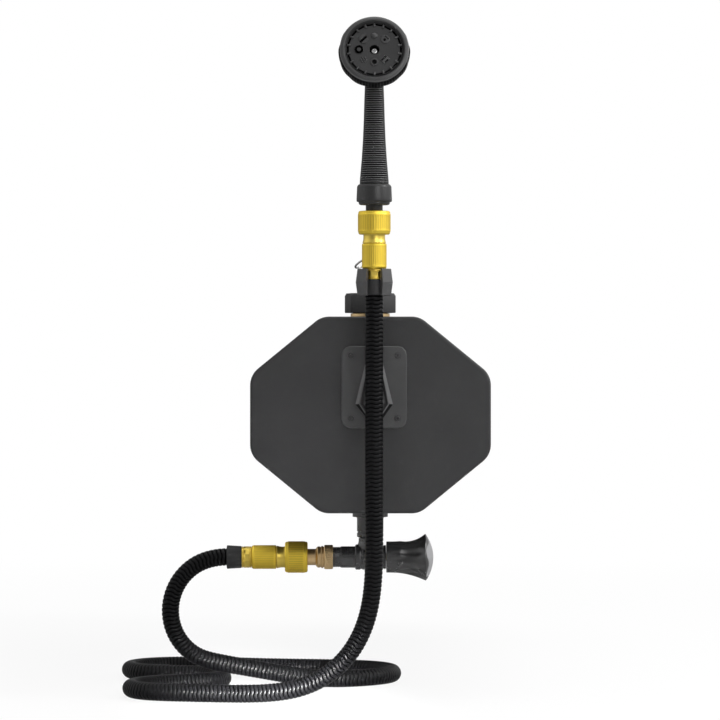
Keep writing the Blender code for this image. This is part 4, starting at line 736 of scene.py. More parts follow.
@dataclass
class Tank:
    """The octagonal tank: a shell and two welded end plates."""

    half_width: float = 120.5
    half_height: float = 98.5
    half_length: float = 500.0
    half_top: float = 49.0
    half_side: float = 40.0
    corner: float = 22.0
    wall: float = 2.5
    plate: float = 4.0
    edge: float = 2.5
    seam: float = 0.3
    lip: float = 2.0
    face_insets: tuple[float, float] = (8.0, 3.2)
    arc_steps: int = 10

    def ring(self, inset: float, depth: float) -> Array:
        """The tank's outline drawn in, at one place along it.

        Corner k is an arc of radius corner - inset about the point where both sides' lines, moved
        in by the corner radius, cross: p . n1 = d1 - corner and p . n2 = d2 - corner.

        Args:
            inset: how far inside the tank's skin the outline runs.
            depth: its place along Y.

        Returns:
            Its points, anticlockwise.
        """
        lean = math.atan2(self.half_width - self.half_top, self.half_height - self.half_side)
        facing = np.array([-math.pi / 2, -lean, 0, lean])
        facing = np.concatenate([facing, facing + math.pi, [1.5 * math.pi]])
        reach = self.half_top * math.cos(lean) + self.half_height * math.sin(lean)
        distance = np.array([self.half_height, reach, self.half_width, reach] * 2) - self.corner
        normal = np.stack([np.cos(facing), np.sin(facing)], axis=1)
        pairs = np.stack([normal[:-1], normal[1:]], axis=1)
        sides = np.stack([distance, np.roll(distance, -1)], axis=1)[..., None]
        centre = np.linalg.solve(pairs, sides)[:, None, :, 0]
        share = np.linspace(0, 1, self.arc_steps + 1)
        angle = facing[:-1, None] * (1 - share) + facing[1:, None] * share
        arc = np.stack([np.cos(angle), np.sin(angle)], axis=-1) * (self.corner - inset)
        x, z = (centre + arc).reshape(-1, 2).T
        return np.stack([x, np.full(len(x), depth), z + self.half_height], axis=1)

    def build(self) -> None:
        """Builds the shell and both plates, each with a rounded edge and a lip in the shell."""
        end = self.half_length - self.plate - self.seam
        corners = ((0, -end), (0, end), (self.wall, end), (self.wall, -end))
        shell = np.stack([self.ring(inset, depth) for inset, depth in corners])
        piece("tank_skin", Finish.TANK, "tank_shell", Grid(shell))
        turn = np.linspace(math.pi / 2, 0, 7)
        inner = self.wall + self.seam
        insets = [*self.face_insets, *(self.edge * (1 - np.cos(turn))), 0.0, inner, inner]
        depths = [0.0, 0.0, *(self.edge * (1 - np.sin(turn)))]
        depths = np.array([*depths, self.plate, self.plate, self.plate + self.lip])
        for name, side in (("front_end_plate", -1), ("rear_end_plate", 1)):
            places = side * (self.half_length - depths)
            rings = np.stack([self.ring(inset, place) for inset, place in zip(insets, places)])
            piece(f"{name}_skin", Finish.TANK, name, Grid(rings, loop=False), sharp=50)


def hexagon(angle: Array, corner_radius: float, blunt: float, turn: float = 0.0) -> Array:
    """A hexagon's radius: apothem / cos(angle to the nearest side's middle), with blunt corners.

    Args:
        angle: the angles.
        corner_radius: the corners' radius before they are cut.
        blunt: how much is cut off it.
        turn: the angle of a corner.

    Returns:
        The radius at each angle.
    """
    off = np.mod(angle - turn, math.pi / 3) - math.pi / 6
    return np.minimum(corner_radius * math.cos(math.pi / 6) / np.cos(off), corner_radius - blunt)


@dataclass
class Filler:
    """The filler neck, its hexagonal cap, their gasket and the relief valve on the cap."""

    neck_bore: float = 14.0
    shoulder: float = 20.2
    thread: float = 18.0
    cap_radius: float = 27.5
    cap_turn: float = math.radians(-76)
    cap_low: float = 201.9
    cap_high: float = 222.1
    cap_roof: float = 217.7
    chamfer_start: float = 24.7
    valve_hole: float = 5.8
    foot_radius: float = 10.5
    foot_chamfer: float = 9.6
    valve_bore: float = 3.0
    eye_height: float = 258.6
    ring_radius: float = 9.4
    ring_wire: float = 1.05
    ring_lean: float = math.radians(32)
    hinge_turn: float = math.radians(60)

    def cap(self) -> Grid:
        """The cap as a loop of rows, each a radius and a height at every angle.

        The side follows the hexagon. Its top edge falls with the radius beyond the chamfer's start,
        so the chamfer cuts an arc at each corner: z = high - (hexagon - start).

        Returns:
            The grid.
        """
        angle = around(180)
        outer = hexagon(angle, self.cap_radius, 0.35, self.cap_turn)
        over = np.maximum(0, outer - self.chamfer_start)
        low, high, bore = self.cap_low, self.cap_high, self.thread + 0.4
        rows = [
            (self.valve_hole, high),
            (np.minimum(outer - 1.4, self.chamfer_start - 0.5), high),
            (np.minimum(outer - 0.7, self.chamfer_start), high - 0.12),
            (outer - 0.15, high - 0.35 - over * 0.95),
            (outer, high - 0.8 - over * 1.05),
            (outer, low + 0.8), (outer - 0.25, low + 0.25), (outer - 0.8, low),
            (bore, low), (bore, self.cap_roof), (self.valve_hole, self.cap_roof),
        ]
        return DOWN_PIPE.rings(angle, rows)

    def build(self) -> None:
        """Builds every piece of the filler."""
        neck = [
            (self.neck_bore, 189), (17.8, 189), (17.8, 197.3),
            (self.shoulder, 197.3), (self.shoulder, 201.4),
            (self.thread, 201.4), (self.thread, 214.6), (self.neck_bore, 214.6),
        ]
        turned = DOWN_PIPE.turned(soften(neck, 0.5), 72)
        piece("filler_neck_turned", Finish.BRASS, "filler_neck", turned)
        piece("hexagonal_cap", Finish.CAP, "filler_cap", self.cap(), body="cap", sharp=28)
        self.build_valve()
        self.build_ring()
        dress(Finish.RUBBER, "cap_gasket")
        dress(Finish.STEEL, "relief_spring")

    def build_valve(self) -> None:
        """Builds the relief valve: a hexagonal foot, a grooved barrel and the stem through it."""
        angle = around(120)
        side = hexagon(angle, self.foot_radius, 0.2)
        foot = [
            (self.valve_bore, 222.4), (side - 0.4, 222.4), (side, 222.8),
            (side, 231.2 - np.maximum(0, side - self.foot_chamfer)),
            (np.minimum(side, self.foot_chamfer), 231.4), (self.valve_bore, 231.4),
        ]
        barrel = [
            (2.6, 231.2), (7.8, 231.2), (7.8, 235), (7.1, 235.3), (7.1, 236.7), (7.8, 237),
            (7.8, 247), (7.1, 247.3), (7.1, 248.4), (7.8, 248.7), (7.8, 250.2), (6.8, 251.4),
            (2.6, 251.4),
        ]
        spigot = [(self.valve_bore, 218), (5.5, 218), (5.5, 222.5), (self.valve_bore, 222.5)]
        grids = (
            DOWN_PIPE.rings(angle, foot),
            DOWN_PIPE.turned(soften(barrel, 0.3), 64),
            DOWN_PIPE.turned(soften(spigot, 0.2), 48),
        )
        piece("relief_valve_turned", Finish.BRASS, "relief_valve_body", *grids, body="cap")
        refined("relief_stem", Finish.STEEL, "relief_plunger", 0.15)

    def build_ring(self) -> None:
        """Builds the pull ring: wire of radius w on a circle of radius R that hangs from the eye.

        Point = eye + R hang + (R + w cos b) (sin a hinge - cos a hang) + w sin b normal.
        """
        hinge = np.array([math.cos(self.hinge_turn), math.sin(self.hinge_turn), 0])
        away = np.array([-hinge[1], hinge[0], 0])
        hang = away * math.cos(self.ring_lean) - np.array([0, 0, math.sin(self.ring_lean)])
        normal = np.cross(hinge, hang)
        a, b = around(72)[:, None, None], around(14)[None, :, None]
        outward = np.sin(a) * hinge - np.cos(a) * hang
        middle = np.array([0, FITTINGS_Y, self.eye_height]) + self.ring_radius * hang
        rows = middle + (self.ring_radius + self.ring_wire * np.cos(b)) * outward
        rows = rows + self.ring_wire * np.sin(b) * normal
        piece("pull_ring_wire", Finish.STEEL, "pull_ring", Grid(rows), body="pull_ring")


@dataclass
class Outlet:
    """The flanged socket under the tank, its gasket and the nut inside the tank."""

    bore: float = 7.0
    flange: float = 18.2
    socket: float = 13.6

    def build(self) -> None:
        """Builds the outlet."""
        outline = [
            (self.bore, 13), (self.bore, -12), (9.6, -12), (9.6, -29), (12.6, -29),
            (self.socket, -28), (self.socket, -24.6), (12.9, -24.2), (12.9, -22.8),
            (self.socket, -22.4), (self.socket, -9), (14.8, -7.8),
            (self.flange, -7.8), (self.flange, -1.8), (10.4, -1.8), (10.4, 13),
        ]
        turned = DOWN_PIPE.turned(soften(outline, 0.7), 72)
        piece("outlet_moulding", Finish.TAP, "outlet_socket", turned)
        seal = [(10.7, -1.5), (self.flange, -1.5), (self.flange, -0.3), (10.7, -0.3)]
        turned = DOWN_PIPE.turned(soften(seal, 0.3), 64)
        piece("outlet_seal", Finish.RUBBER, "outlet_gasket", turned)
        refined("outlet_locknut", Finish.TAP, bevel=0.5)


@dataclass
class Tap:
    """The tap: a cast body under the outlet, its bonnet, and the knob with its pale cover."""

    thread_start: float = -30.6
    thread_pitch: float = 1.81
    thread_depth: float = 0.44
    lobes: int = 5
    knob_start: float = 16.5
    knob_length: float = 40.9
    neck: float = 16.0
    rim: float = 24.4
    dome_radius: float = 43.4
    dome: float = 7.5
    petal: float = 19.6
    valley: float = 22.9
    dish: float = 36.3
    dish_taper: float = 0.84
    spindle: float = 6.0
    columns: int = 160

    def thread(self, angle: Array, radius: Array, along: Array) -> Array:
        """The thread on the tap's tail: depth (cos(2 pi x / pitch) - 1) / 2 below its radius."""
        ridges = self.thread_depth / 2 * (np.cos(math.tau * along / self.thread_pitch) - 1)
        return np.where((along < self.thread_start) & (radius > 9), ridges, 0.0) + 0 * angle

    def build_body(self) -> None:
        """Builds the body: a waisted, ringed barrel along X with its inlet standing on it."""
        barrel = [
            (4.0, -44.8), (10.5, -44.8), (10.5, -30.2), (11.0, -29.8), (11.0, -15.6), (12.4, -15.2),
            (13.0, -14.4), (13.0, -10.4), (12.2, -9.6), (12.2, -8.6), (13.0, -7.8), (13.0, 8.6),
            (12.3, 9.2), (12.3, 10.2), (13.0, 10.8), (13.0, 12.0), (4.0, 12.0),
        ]
        inlet = [
            (5, -41.5), (13.2, -41.5), (12.9, -36.5), (11.9, -33.2), (11.9, -29.4), (9.2, -29.4),
            (9.2, -16), (5, -16),
        ]
        bonnet = [
            (4.3, 5.0), (9.1, 5.0), (9.1, 12.3), (12.4, 12.3), (12.4, 13.0), (11.8, 13.3),
            (11.8, 13.7), (12.4, 14.0), (12.4, 14.9), (11.8, 15.2), (11.8, 15.5), (12.4, 15.8),
            (12.4, 16.2), (4.3, 16.2),
        ]
        grids = (
            TAP_LINE.turned(densify(soften(barrel, 0.4), 0.45), 72, self.thread),
            DOWN_PIPE.turned(soften(inlet, 0.9), 72),
        )
        piece("tap_casting", Finish.TAP, "tap_body", *grids)
        rings = TAP_LINE.turned(soften(bonnet, 0.2), 72)
        piece("tap_bonnet_rings", Finish.TAP, "tap_bonnet", rings)

    def lobe(self, angle: Array) -> Array:
        """The lobe share: (1 + cos(lobes a)) / 2, which is 1 in a lobe's middle."""
        return (1 + np.cos(self.lobes * angle)) / 2

    def dome_height(self, radius: Array) -> Array:
        """The domed end: z = length + dome - (D - sqrt(D^2 - r^2)), with D the dome's radius."""
        fall = self.dome_radius - np.sqrt(self.dome_radius**2 - radius**2)
        return self.knob_length + self.dome - fall

    def edge(self, angle: Array) -> Array:
        """The flower outline where cover and knob meet, drawn in to the petals at each lobe."""
        share = self.lobe(angle)
        return self.petal * share + self.valley * (1 - share)

    def knob(self) -> Grid:
        """The knob: the flared side, the petals over the dome's edge, and the wall of the dish.

        Side radius at share s of the length: neck + (rim - neck) f^1.9 - hollow (1 - lobe) +
        ridges, with f = (s - 0.2) / 0.8, hollow = 0.6 g + 2.6 sin(pi g), g = (s - 0.35) / 0.65, and
        ridges = 0.28 cos(3 lobes a) sin(pi (s - 0.1) / 0.9)^0.5. Petals run from there to the
        flower outline, just under the dome, and the dish's wall goes down inside them.

        Returns:
            The grid.
        """
        angle = around(self.columns)
        share = np.concatenate([[0, 0.012], np.linspace(0.04, 0.955, 26), [0.975, 0.992]])[:, None]
        valley = 1 - self.lobe(angle)
        flare = np.clip((share - 0.2) / 0.8, 0, 1) ** 1.9
        grown = np.clip((share - 0.35) / 0.65, 0, 1)
        hollow = 0.6 * grown + 2.6 * np.sin(math.pi * grown)
        swell = np.sin(math.pi * np.clip((share - 0.1) / 0.9, 0, 1)) ** 0.5
        ridges = 0.28 * np.cos(3 * self.lobes * angle) * swell
        radius = self.neck + (self.rim - self.neck) * flare - hollow * valley + ridges
        radius = radius - np.where(share < 0.01, 0.5, 0.0)
        height = self.knob_length * share - valley * np.clip((share - 0.8) / 0.2, 0, 1)
        over = np.linspace(0, 1, 9)[:, None]
        inner = self.edge(angle)[None, :] + 0.3
        petals = radius[-1:] * (1 - over) + inner * over
        crown = self.dome_height(petals) - valley * (1 - 0.25 * over) - 0.7 * np.exp(-7 * over)
        floor = 0 * inner + self.dish
        r = np.concatenate(
            [radius, petals[1:], inner - 0.1, inner * self.dish_taper, 0 * inner + self.spindle]
        )
        z = np.concatenate([height, crown[1:], crown[-1:] - 0.5, floor, floor])
        return Grid(TAP_LINE.polar(r, angle, z + self.knob_start), loop=False)

    def cover(self) -> Grid:
        """The cover: its wall in the dish, a rounded edge and the dome over it.

        At i inside the edge, with s = i / 17.5, the height is that of the dome less 0.9 (1 - lobe)
        (1 - s)^2 and 0.35 exp(-4 i).

        Returns:
            The grid.
        """
        angle = around(self.columns)
        edge = self.edge(angle)[None, :]
        low = 0 * edge + self.dish + 0.3
        inward = np.array([0.0, 0.35, 1.2, 3.0, 6.0, 9.0, 12.0, 15.0, 17.5])[:, None]
        share = inward / 17.5
        radius = (edge - 0.15) * (1 - share) + 2.0 * share - np.where(inward == 0, 0.0, 0.15)
        fall = (1 - self.lobe(angle)) * (1 - share) ** 2 * 0.9
        height = self.dome_height(radius) - fall - 0.35 * np.exp(-4 * inward)
        r = np.concatenate([0 * edge + self.spindle + 0.1, edge * self.dish_taper - 0.1, radius])
        z = np.concatenate([low, low, height])
        return Grid(TAP_LINE.polar(r, angle, z + self.knob_start), loop=False)

    def build(self) -> None:
        """Builds the tap."""
        self.build_body()
        piece("flared_knob", Finish.TAP, "tap_knob", self.knob(), body="tap_handle")
        piece("knob_cover", Finish.INSERT, "knob_insert", self.cover(), body="tap_handle")
        dress(Finish.BRASS, "tap_stem")
        dress(Finish.RUBBER, "tap_disc")
        dress(Finish.STEEL, "knob_screw")


@dataclass(frozen=True)
class Flutes:
    """Concave flutes round an outside of at least the radius, with scallops at their ends.

    With u the share of the way across a flute, the cut is 4 u (1 - u) depth, less slope times the
    distance outside low to high, and never below 0.
    """

    radius: float
    count: int
    depth: float
    low: float
    high: float
    slope: float

    def relief(self, angle: Array, radius: Array, along: Array) -> Array:
        """The change of radius.

        Args:
            angle: angles as a row.
            radius: the outline's radius as a column.
            along: places along the axis as a column.

        Returns:
            What is taken off at each point, as negative numbers.
        """
        share = np.mod(angle * self.count / math.tau, 1.0)
        beyond = np.maximum(0, np.maximum(self.low - along, along - self.high))
        cut = np.maximum(0, 4 * share * (1 - share) * self.depth - self.slope * beyond)
        return -np.where(radius > self.radius, cut, 0.0)


@dataclass
class Adapter:
    """The turned brass adapter between the tap and the lower coupler."""

    knurl: Flutes = Flutes(radius=12.2, count=36, depth=0.5, low=40.2, high=45.4, slope=0.5)

    def build(self) -> None:
        """Builds the adapter."""
        outline = [
            (10.8, 38.2), (11.6, 38.2), (12.5, 39.0), (12.5, 46.6), (11.8, 47.4), (10.6, 47.5),
            (10.6, 48.4), (11.4, 48.6), (11.4, 50.2), (10.5, 50.5), (10.5, 51.3), (10.9, 51.6),
            (10.9, 54.0), (9.6, 55.4), (8.4, 56.0), (8.4, 66), (7.8, 66), (7.8, 84), (4.8, 84),
            (4.8, 47.2), (10.8, 47.0),
        ]
        turned = HOSE_OUTLET.turned(densify(soften(outline, 0.3), 0.9), 216, self.knurl.relief)
        piece("brass_adapter", Finish.BRASS, "hose_adapter", turned)
        dress(Finish.RUBBER, "adapter_washer", "adapter_seal")


@dataclass
class Coupler:
    """A quick coupler, measured along its axis from its mouth towards the hose."""

    label: str
    axis: Axis
    ring_radius: float = 16.2
    ring_length: float = 23.2
    sleeve_start: float = 32.3
    sleeve_end: float = 57.5
    sleeve_radius: float = 12.2
    tail_start: float = 57.8
    tail_end: float = 67.6
    collar_start: float = 67.9
    collar_end: float = 83.1
    ring_flutes: Flutes = Flutes(radius=15, count=40, depth=0.16, low=4.6, high=18.8, slope=0.3)
    sleeve_flutes: Flutes = Flutes(
        radius=11.5, count=40, depth=0.13, low=34.7, high=54.1, slope=0.3
    )
    flute_shade: float = 1.7
    tail_flats: int = 10

    def tail_relief(self, angle: Array, radius: Array, along: Array) -> Array:
        """Flats on the middle of the tail, where the radius falls to a polygon's inscribed in it.

        Args:
            angle: angles as a row.
            radius: the outline's radius as a column.
            along: places along the axis as a column.

        Returns:
            The change of radius at each point.
        """
        half = math.pi / self.tail_flats
        off = np.mod(angle, 2 * half) - half
        flat = radius * math.cos(half) / np.cos(off) - radius
        return flat * band(along, self.tail_start + 1.6, self.tail_end - 2.4, 0.5) * (radius > 10)

    def part(self, name: str, finish: Finish, node: str, grid: Grid, **more: str | float) -> None:
        """Makes one piece, which is named for this coupler."""
        piece(f"{self.label}_{name}", finish, f"{self.label}_{node}", grid, **more)

    def build(self) -> None:
        """Builds the coupler's five visible pieces."""
        r, end = self.ring_radius, self.ring_length
        ring = [
            (12.2, 0), (14.7, 0), (15.7, 1.0), (15.9, 2.9), (r, 3.3), (r, end - 3.3),
            (15.9, end - 2.9), (15.6, end - 1.1), (14.7, end), (14.3, end), (14.3, 6), (12.2, 6),
        ]
        body = [
            (8.9, 0.5), (11.6, 0.5), (11.6, 18), (13.7, 18), (13.7, 21), (11.2, 22.4), (10.7, 24.2),
            (10.8, 28.2), (11.6, 31.2), (11.5, 32.0), (9.8, 32.1), (9.8, 48), (5, 48), (5, 24.2),
            (8.9, 24.2),
        ]
        r, start, end = self.sleeve_radius, self.sleeve_start, self.sleeve_end
        sleeve = [
            (10.3, start), (11.7, start), (r, start + 0.6), (r, end - 2.0), (11.5, end - 0.5),
            (11.0, end), (7.9, end), (10.3, end - 6),
        ]
        start, end = self.tail_start, self.tail_end
        tail = [
            (4.0, start - 5), (7.4, start - 5), (7.4, start), (10.6, start), (11, start + 0.4),
            (11, start + 1.2), (10.6, start + 1.5), (11, start + 1.8), (11, end - 2.2),
            (10.5, end - 1.9), (10.5, end - 1.4), (11, end - 1.1), (10.9, end), (4.6, end),
            (4.6, self.collar_end - 1), (3.5, self.collar_end - 1),
        ]
        start, end = self.collar_start, self.collar_end
        collar = [
            (5, start), (11.0, start), (11.3, start + 0.6), (12.1, end - 1.2), (12.0, end - 0.2),
            (11.2, end), (9.4, end), (9.4, end - 11.8), (5, end - 11.8),
        ]
        # The fluted ring and sleeve get painted shade in the flutes and a painted highlight on the
        # crests.
        turned, shade = self.axis.turned, self.flute_shade
        grid = turned(densify(soften(ring, 0.35), 0.8), 264, self.ring_flutes.relief, shade)
        ring_body = f"{self.label}_release"
        self.part("fluted_ring", Finish.GOLD, "release_ring", grid, body=ring_body, sharp=24)
        grid = turned(densify(soften(body, 0.9), 1.5), 72)
        self.part("coupler_neck", Finish.POLISHED, "coupler_body", grid)
        grid = turned(densify(soften(sleeve, 0.35), 0.9), 280, self.sleeve_flutes.relief, shade)
        self.part("fluted_sleeve", Finish.GOLD, "sleeve_nut", grid, sharp=24)
        grid = turned(densify(soften(tail, 0.2), 0.9), 120, self.tail_relief)
        self.part("ringed_tail", Finish.POLISHED, "hose_tail", grid)
        self.part("collar", Finish.COLLAR, "hose_collar", turned(soften(collar, 0.5), 72))
        dress(Finish.STEEL, f"{self.label}_release_spring")


@dataclass
class Hose:
    """The ribbed hose: one smooth line through its points, with ribs that interlock round it.

    Route holds (x, depth behind the handset's line, z) from the lower coupler to the upper one. A
    rib's steps are shares of its pitch and its shape how far the radius has risen there.
    """

    radius: float = 9.0
    groove: float = 8.05
    pitch: float = 4.1
    columns: int = 30
    shift: float = 0.13
    sectors: int = 10
    plain_end: float = 1.2
    insertion: float = 71.4
    samples: int = 12000
    rib_steps: tuple[float, ...] = (0.0, 0.09, 0.24, 0.55, 0.82, 0.94)
    rib_shape: tuple[float, ...] = (0.0, 0.72, 0.96, 1.0, 0.86, 0.4)
    route: tuple[Place, ...] = (
        (-151, 153, -49.2), (-178, 153, -56.6), (-198.1, 153, -76.7), (-205.5, 153, -104.2),
        (-198.1, 153.5, -131.7), (-178, 154.5, -151), (-157, 156.5, -157.6), (-115, 165, -166),
        (-46, 186, -176.9), (3.5, 206.5, -176.9), (24, 256, -176.9), (3.5, 305.5, -176.9),
        (-46, 327, -176.9), (-125, 345, -176.9), (-198, 364, -176.9), (-239, 347, -176.9),
        (-256, 306, -176.9), (-240, 266, -176.9), (-221, 254, -176.9), (-188, 242, -176.9),
        (-170, 230, -176.9), (-153, 190, -176.9), (-169.5, 150, -176.9), (-189, 137.5, -176.9),
        (-205, 129, -176.9), (-224, 114, -176.9), (-241, 74, -176.9), (-225, 35, -176.9),
        (-184, 16, -176.9), (-125, 6, -176.9), (-88, 1, -174.3), (-64, 0, -168.5), (-40, 0, -155.5),
        (-18, 0, -132.5), (-3.5, 0, -101), (2.6, 0, -62), (3.6, 0, -10),
    )

    def points(self) -> Array:
        """The route's points in the part's frame, with a straight run into each collar.

        Returns:
            The points.
        """
        top = UPPER_MOUTH_Z - self.insertion
        middle = [(x, HANDSET[1] + back, z) for x, back, z in self.route]
        low = (LOWER_MOUTH_X - self.insertion, FITTINGS_Y, TAP_Z)
        return np.array([low, *middle, (*HANDSET, top - 2 * self.radius), (*HANDSET, top)])

    def line(self) -> tuple[Array, Array]:
        """A natural cubic spline through the points, over their running distance.

        Between points i and j = i + 1, a span h apart, with second derivatives m, a distance D from
        i and L from j: p = (m_i L^3 + m_j D^3) / 6h + (p_i / h - m_i h / 6) L
        + (p_j / h - m_j h / 6) D.

        Returns:
            The points and the distance run at each.
        """
        points = self.points()
        span = np.linalg.norm(np.diff(points, axis=0), axis=1)
        place = np.concatenate([[0], np.cumsum(span)])
        count = len(points)
        inner = np.arange(1, count - 1)
        balance = np.eye(count)
        balance[inner, inner - 1] = span[:-1]
        balance[inner, inner] = 2 * (span[:-1] + span[1:])
        balance[inner, inner + 1] = span[1:]
        pull = np.zeros((count, 3))
        pull[1:-1] = 6 * np.diff(np.diff(points, axis=0) / span[:, None], axis=0)
        bend = np.linalg.solve(balance, pull)
        along = np.linspace(0, place[-1], self.samples)
        i = np.clip(np.searchsorted(place, along, side="right") - 1, 0, count - 2)
        h = span[i][:, None]
        done = (along - place[i])[:, None]
        left = h - done
        curve = (bend[i] * left**3 + bend[i + 1] * done**3) / (6 * h)
        curve += (points[i] / h - bend[i] * h / 6) * left
        curve += (points[i + 1] / h - bend[i + 1] * h / 6) * done
        run = np.concatenate([[0], np.cumsum(np.linalg.norm(np.diff(curve, axis=0), axis=1))])
        return curve, run

    def across(self, curve: Array) -> tuple[Array, Array]:
        """Two directions across the line that don't twist.

        The first is carried from sample to sample and made square to the line again.

        Args:
            curve: the line's points.

        Returns:
            Directions aside and up, one row for each point.
        """
        along = np.gradient(curve, axis=0)
        along /= np.linalg.norm(along, axis=1, keepdims=True)
        aside = np.zeros_like(along)
        carried = np.array([0.0, 1.0, 0.0])
        for i, direction in enumerate(along):
            carried = carried - direction * carried.dot(direction)
            carried /= np.linalg.norm(carried)
            aside[i] = carried
        return aside, np.cross(along, aside)

    def ribs(self, length: float) -> tuple[Array, Array]:
        """Where the hose's rings of points stand, and how wide they are.

        A rib takes one pitch: the radius rises fast from the groove to the crest and falls back at
        its end. The first and last ribs give way to a plain end as narrow as the groove.

        Args:
            length: the line's length.

        Returns:
            Places along the line and radii, as columns.
        """
        count = int(length / self.pitch)
        start = (length - count * self.pitch) / 2
        steps = (np.arange(count)[:, None] + np.array(self.rib_steps)).ravel()
        radius = self.groove + (self.radius - self.groove) * np.tile(self.rib_shape, count)
        inner = slice(len(self.rib_steps), -len(self.rib_steps))
        ends = ([0.0, self.plain_end], [length - self.plain_end, length])
        place = np.concatenate([ends[0], (start + steps * self.pitch)[inner], ends[1]])
        radius = np.concatenate([[self.groove] * 2, radius[inner], [self.groove] * 2])
        return place[:, None], radius[:, None]

    def build(self) -> float:
        """Neighbouring sectors round the hose are a share of a pitch ahead and behind. Its painted
        light value = 2 d^2.5, with d the share of the way from groove to crest: painted shade in the
        grooves and a painted highlight on the crests.

        Returns:
            The height of the surface that it lies on.
        """
        curve, run = self.line()
        length = run[-1]
        aside, up = self.across(curve)
        place, radius = self.ribs(length)
        angle = around(self.columns)
        ahead = np.clip(1.6 * np.sin(self.sectors / 2 * (angle + math.pi / self.columns)), -1, 1)
        ahead = ahead * self.shift * self.pitch * band(place, 8, length - 8, 10)
        spot = np.clip(place + ahead, 0, length)

        def at(values: Array) -> Array:
            """The values at each point's place along the line."""
            return np.stack([np.interp(spot, run, values[:, k]) for k in range(3)], axis=-1)

        outward = at(aside) * np.cos(angle)[:, None] + at(up) * np.sin(angle)[:, None]
        depth = np.clip((radius - self.groove) / (self.radius - self.groove), 0, 1)
        # Painted light: painted shade in the grooves and a painted highlight on the crests.
        grid = Grid(at(curve) + outward * radius[..., None], loop=False, open=2 * depth**2.5)
        hose = piece("ribbed_hose", Finish.HOSE, "shower_hose", grid, sharp=60)
        log.info("hose length %.4f m", length * MM)
        return float(curve[:, 2].min() - self.radius)


# The bracket and the handset


@dataclass
class Bracket:
    """The plate on the front face, its four screws and the arm with the cradle."""

    plate_front: float = -503.3
    centre_x: float = 3.6
    centre_z: float = 126.4
    spacing_x: float = 46.5
    spacing_z: float = 62.8
    head: float = 3.1
    shank: float = 1.9
    socket_middle: float = 118.0
    socket_widest: float = 109.2
    socket_rim: float = 0.6
    root_reach: float = 9.5

    def screw(self, x: float, z: float) -> Grid:
        """A screw: the cross recess, the domed head and the shank.

        The recess reaches 0.75 + 1.15 |cos 2a|^4 at angle a, which is a cross.

        Args:
            x: the screw's place across.
            z: its height.

        Returns:
            The grid.
        """
        angle = around(96)
        cross = 0.75 + 1.15 * np.abs(np.cos(2 * angle)) ** 4
        rows = [
            (cross * 0.5, -1.2), (cross * 0.8, -1.1), (cross, -0.02),
            (np.maximum(cross + 0.08, 1.2), 0.05), (2.05, 0.0), (2.5, -0.1),
            (self.head - 0.15, -0.25), (self.head, -0.45), (self.shank, -1.9), (self.shank, -5.9),
        ]
        axis = Axis((x, self.plate_front, z), (0, -1, 0), (1, 0, 0))
        return axis.rings(angle, rows, loop=False)

    def slope_socket(self, points: Array) -> Array:
        """Draws the top of the socket's rim in by 12% across and 5% up, so that its sides slope.

        Args:
            points: the plate's points.

        Returns:
            The new points.
        """
        raised = points[:, 1:2] < self.plate_front - 3.0
        middle = np.array([self.centre_x, 0.0, self.socket_middle])
        return np.where(raised, middle + (points - middle) * np.array([0.88, 1.0, 0.95]), points)

    def socket_shade(self, middles: Array) -> Array:
        """Painted light on the plate's faces: the rim's upper sides get a painted highlight, the lower
        ones painted shade.

        Args:
            middles: the middles of the faces.

        Returns:
            2, a painted highlight, or 0.1, painted shade, for the rim's faces, which stand before the
            plate, and 1 for the others.
        """
        rim = middles[:, 1] < self.plate_front - self.socket_rim
        return np.where(rim, np.where(middles[:, 2] > self.socket_widest - 1.0, 2.0, 0.1), 1.0)

    def root_shade(self, middles: Array) -> Array:
        """Painted light on the holder's faces: 2, a painted highlight, near the plate at its root, and
        1 elsewhere.
        """
        return np.where(middles[:, 1] > self.plate_front - self.root_reach, 2.0, 1.0)

    def build(self) -> None:
        """Builds the bracket."""
        shape = {"reshape": self.slope_socket, "painted_light_of": self.socket_shade}
        refined("bracket_plate", Finish.BRACKET, bevel=0.5, **shape)
        refined("handset_holder", Finish.BRACKET, bevel=0.6, painted_light_of=self.root_shade)
        for up, z in (("upper", self.spacing_z / 2), ("lower", -self.spacing_z / 2)):
            for side, x in (("left", -self.spacing_x / 2), ("right", self.spacing_x / 2)):
                name = f"plate_screw_{up}_{side}"
                screw = self.screw(self.centre_x + x, self.centre_z + z)
                piece(f"{name}_head", Finish.SCREW, name, screw)


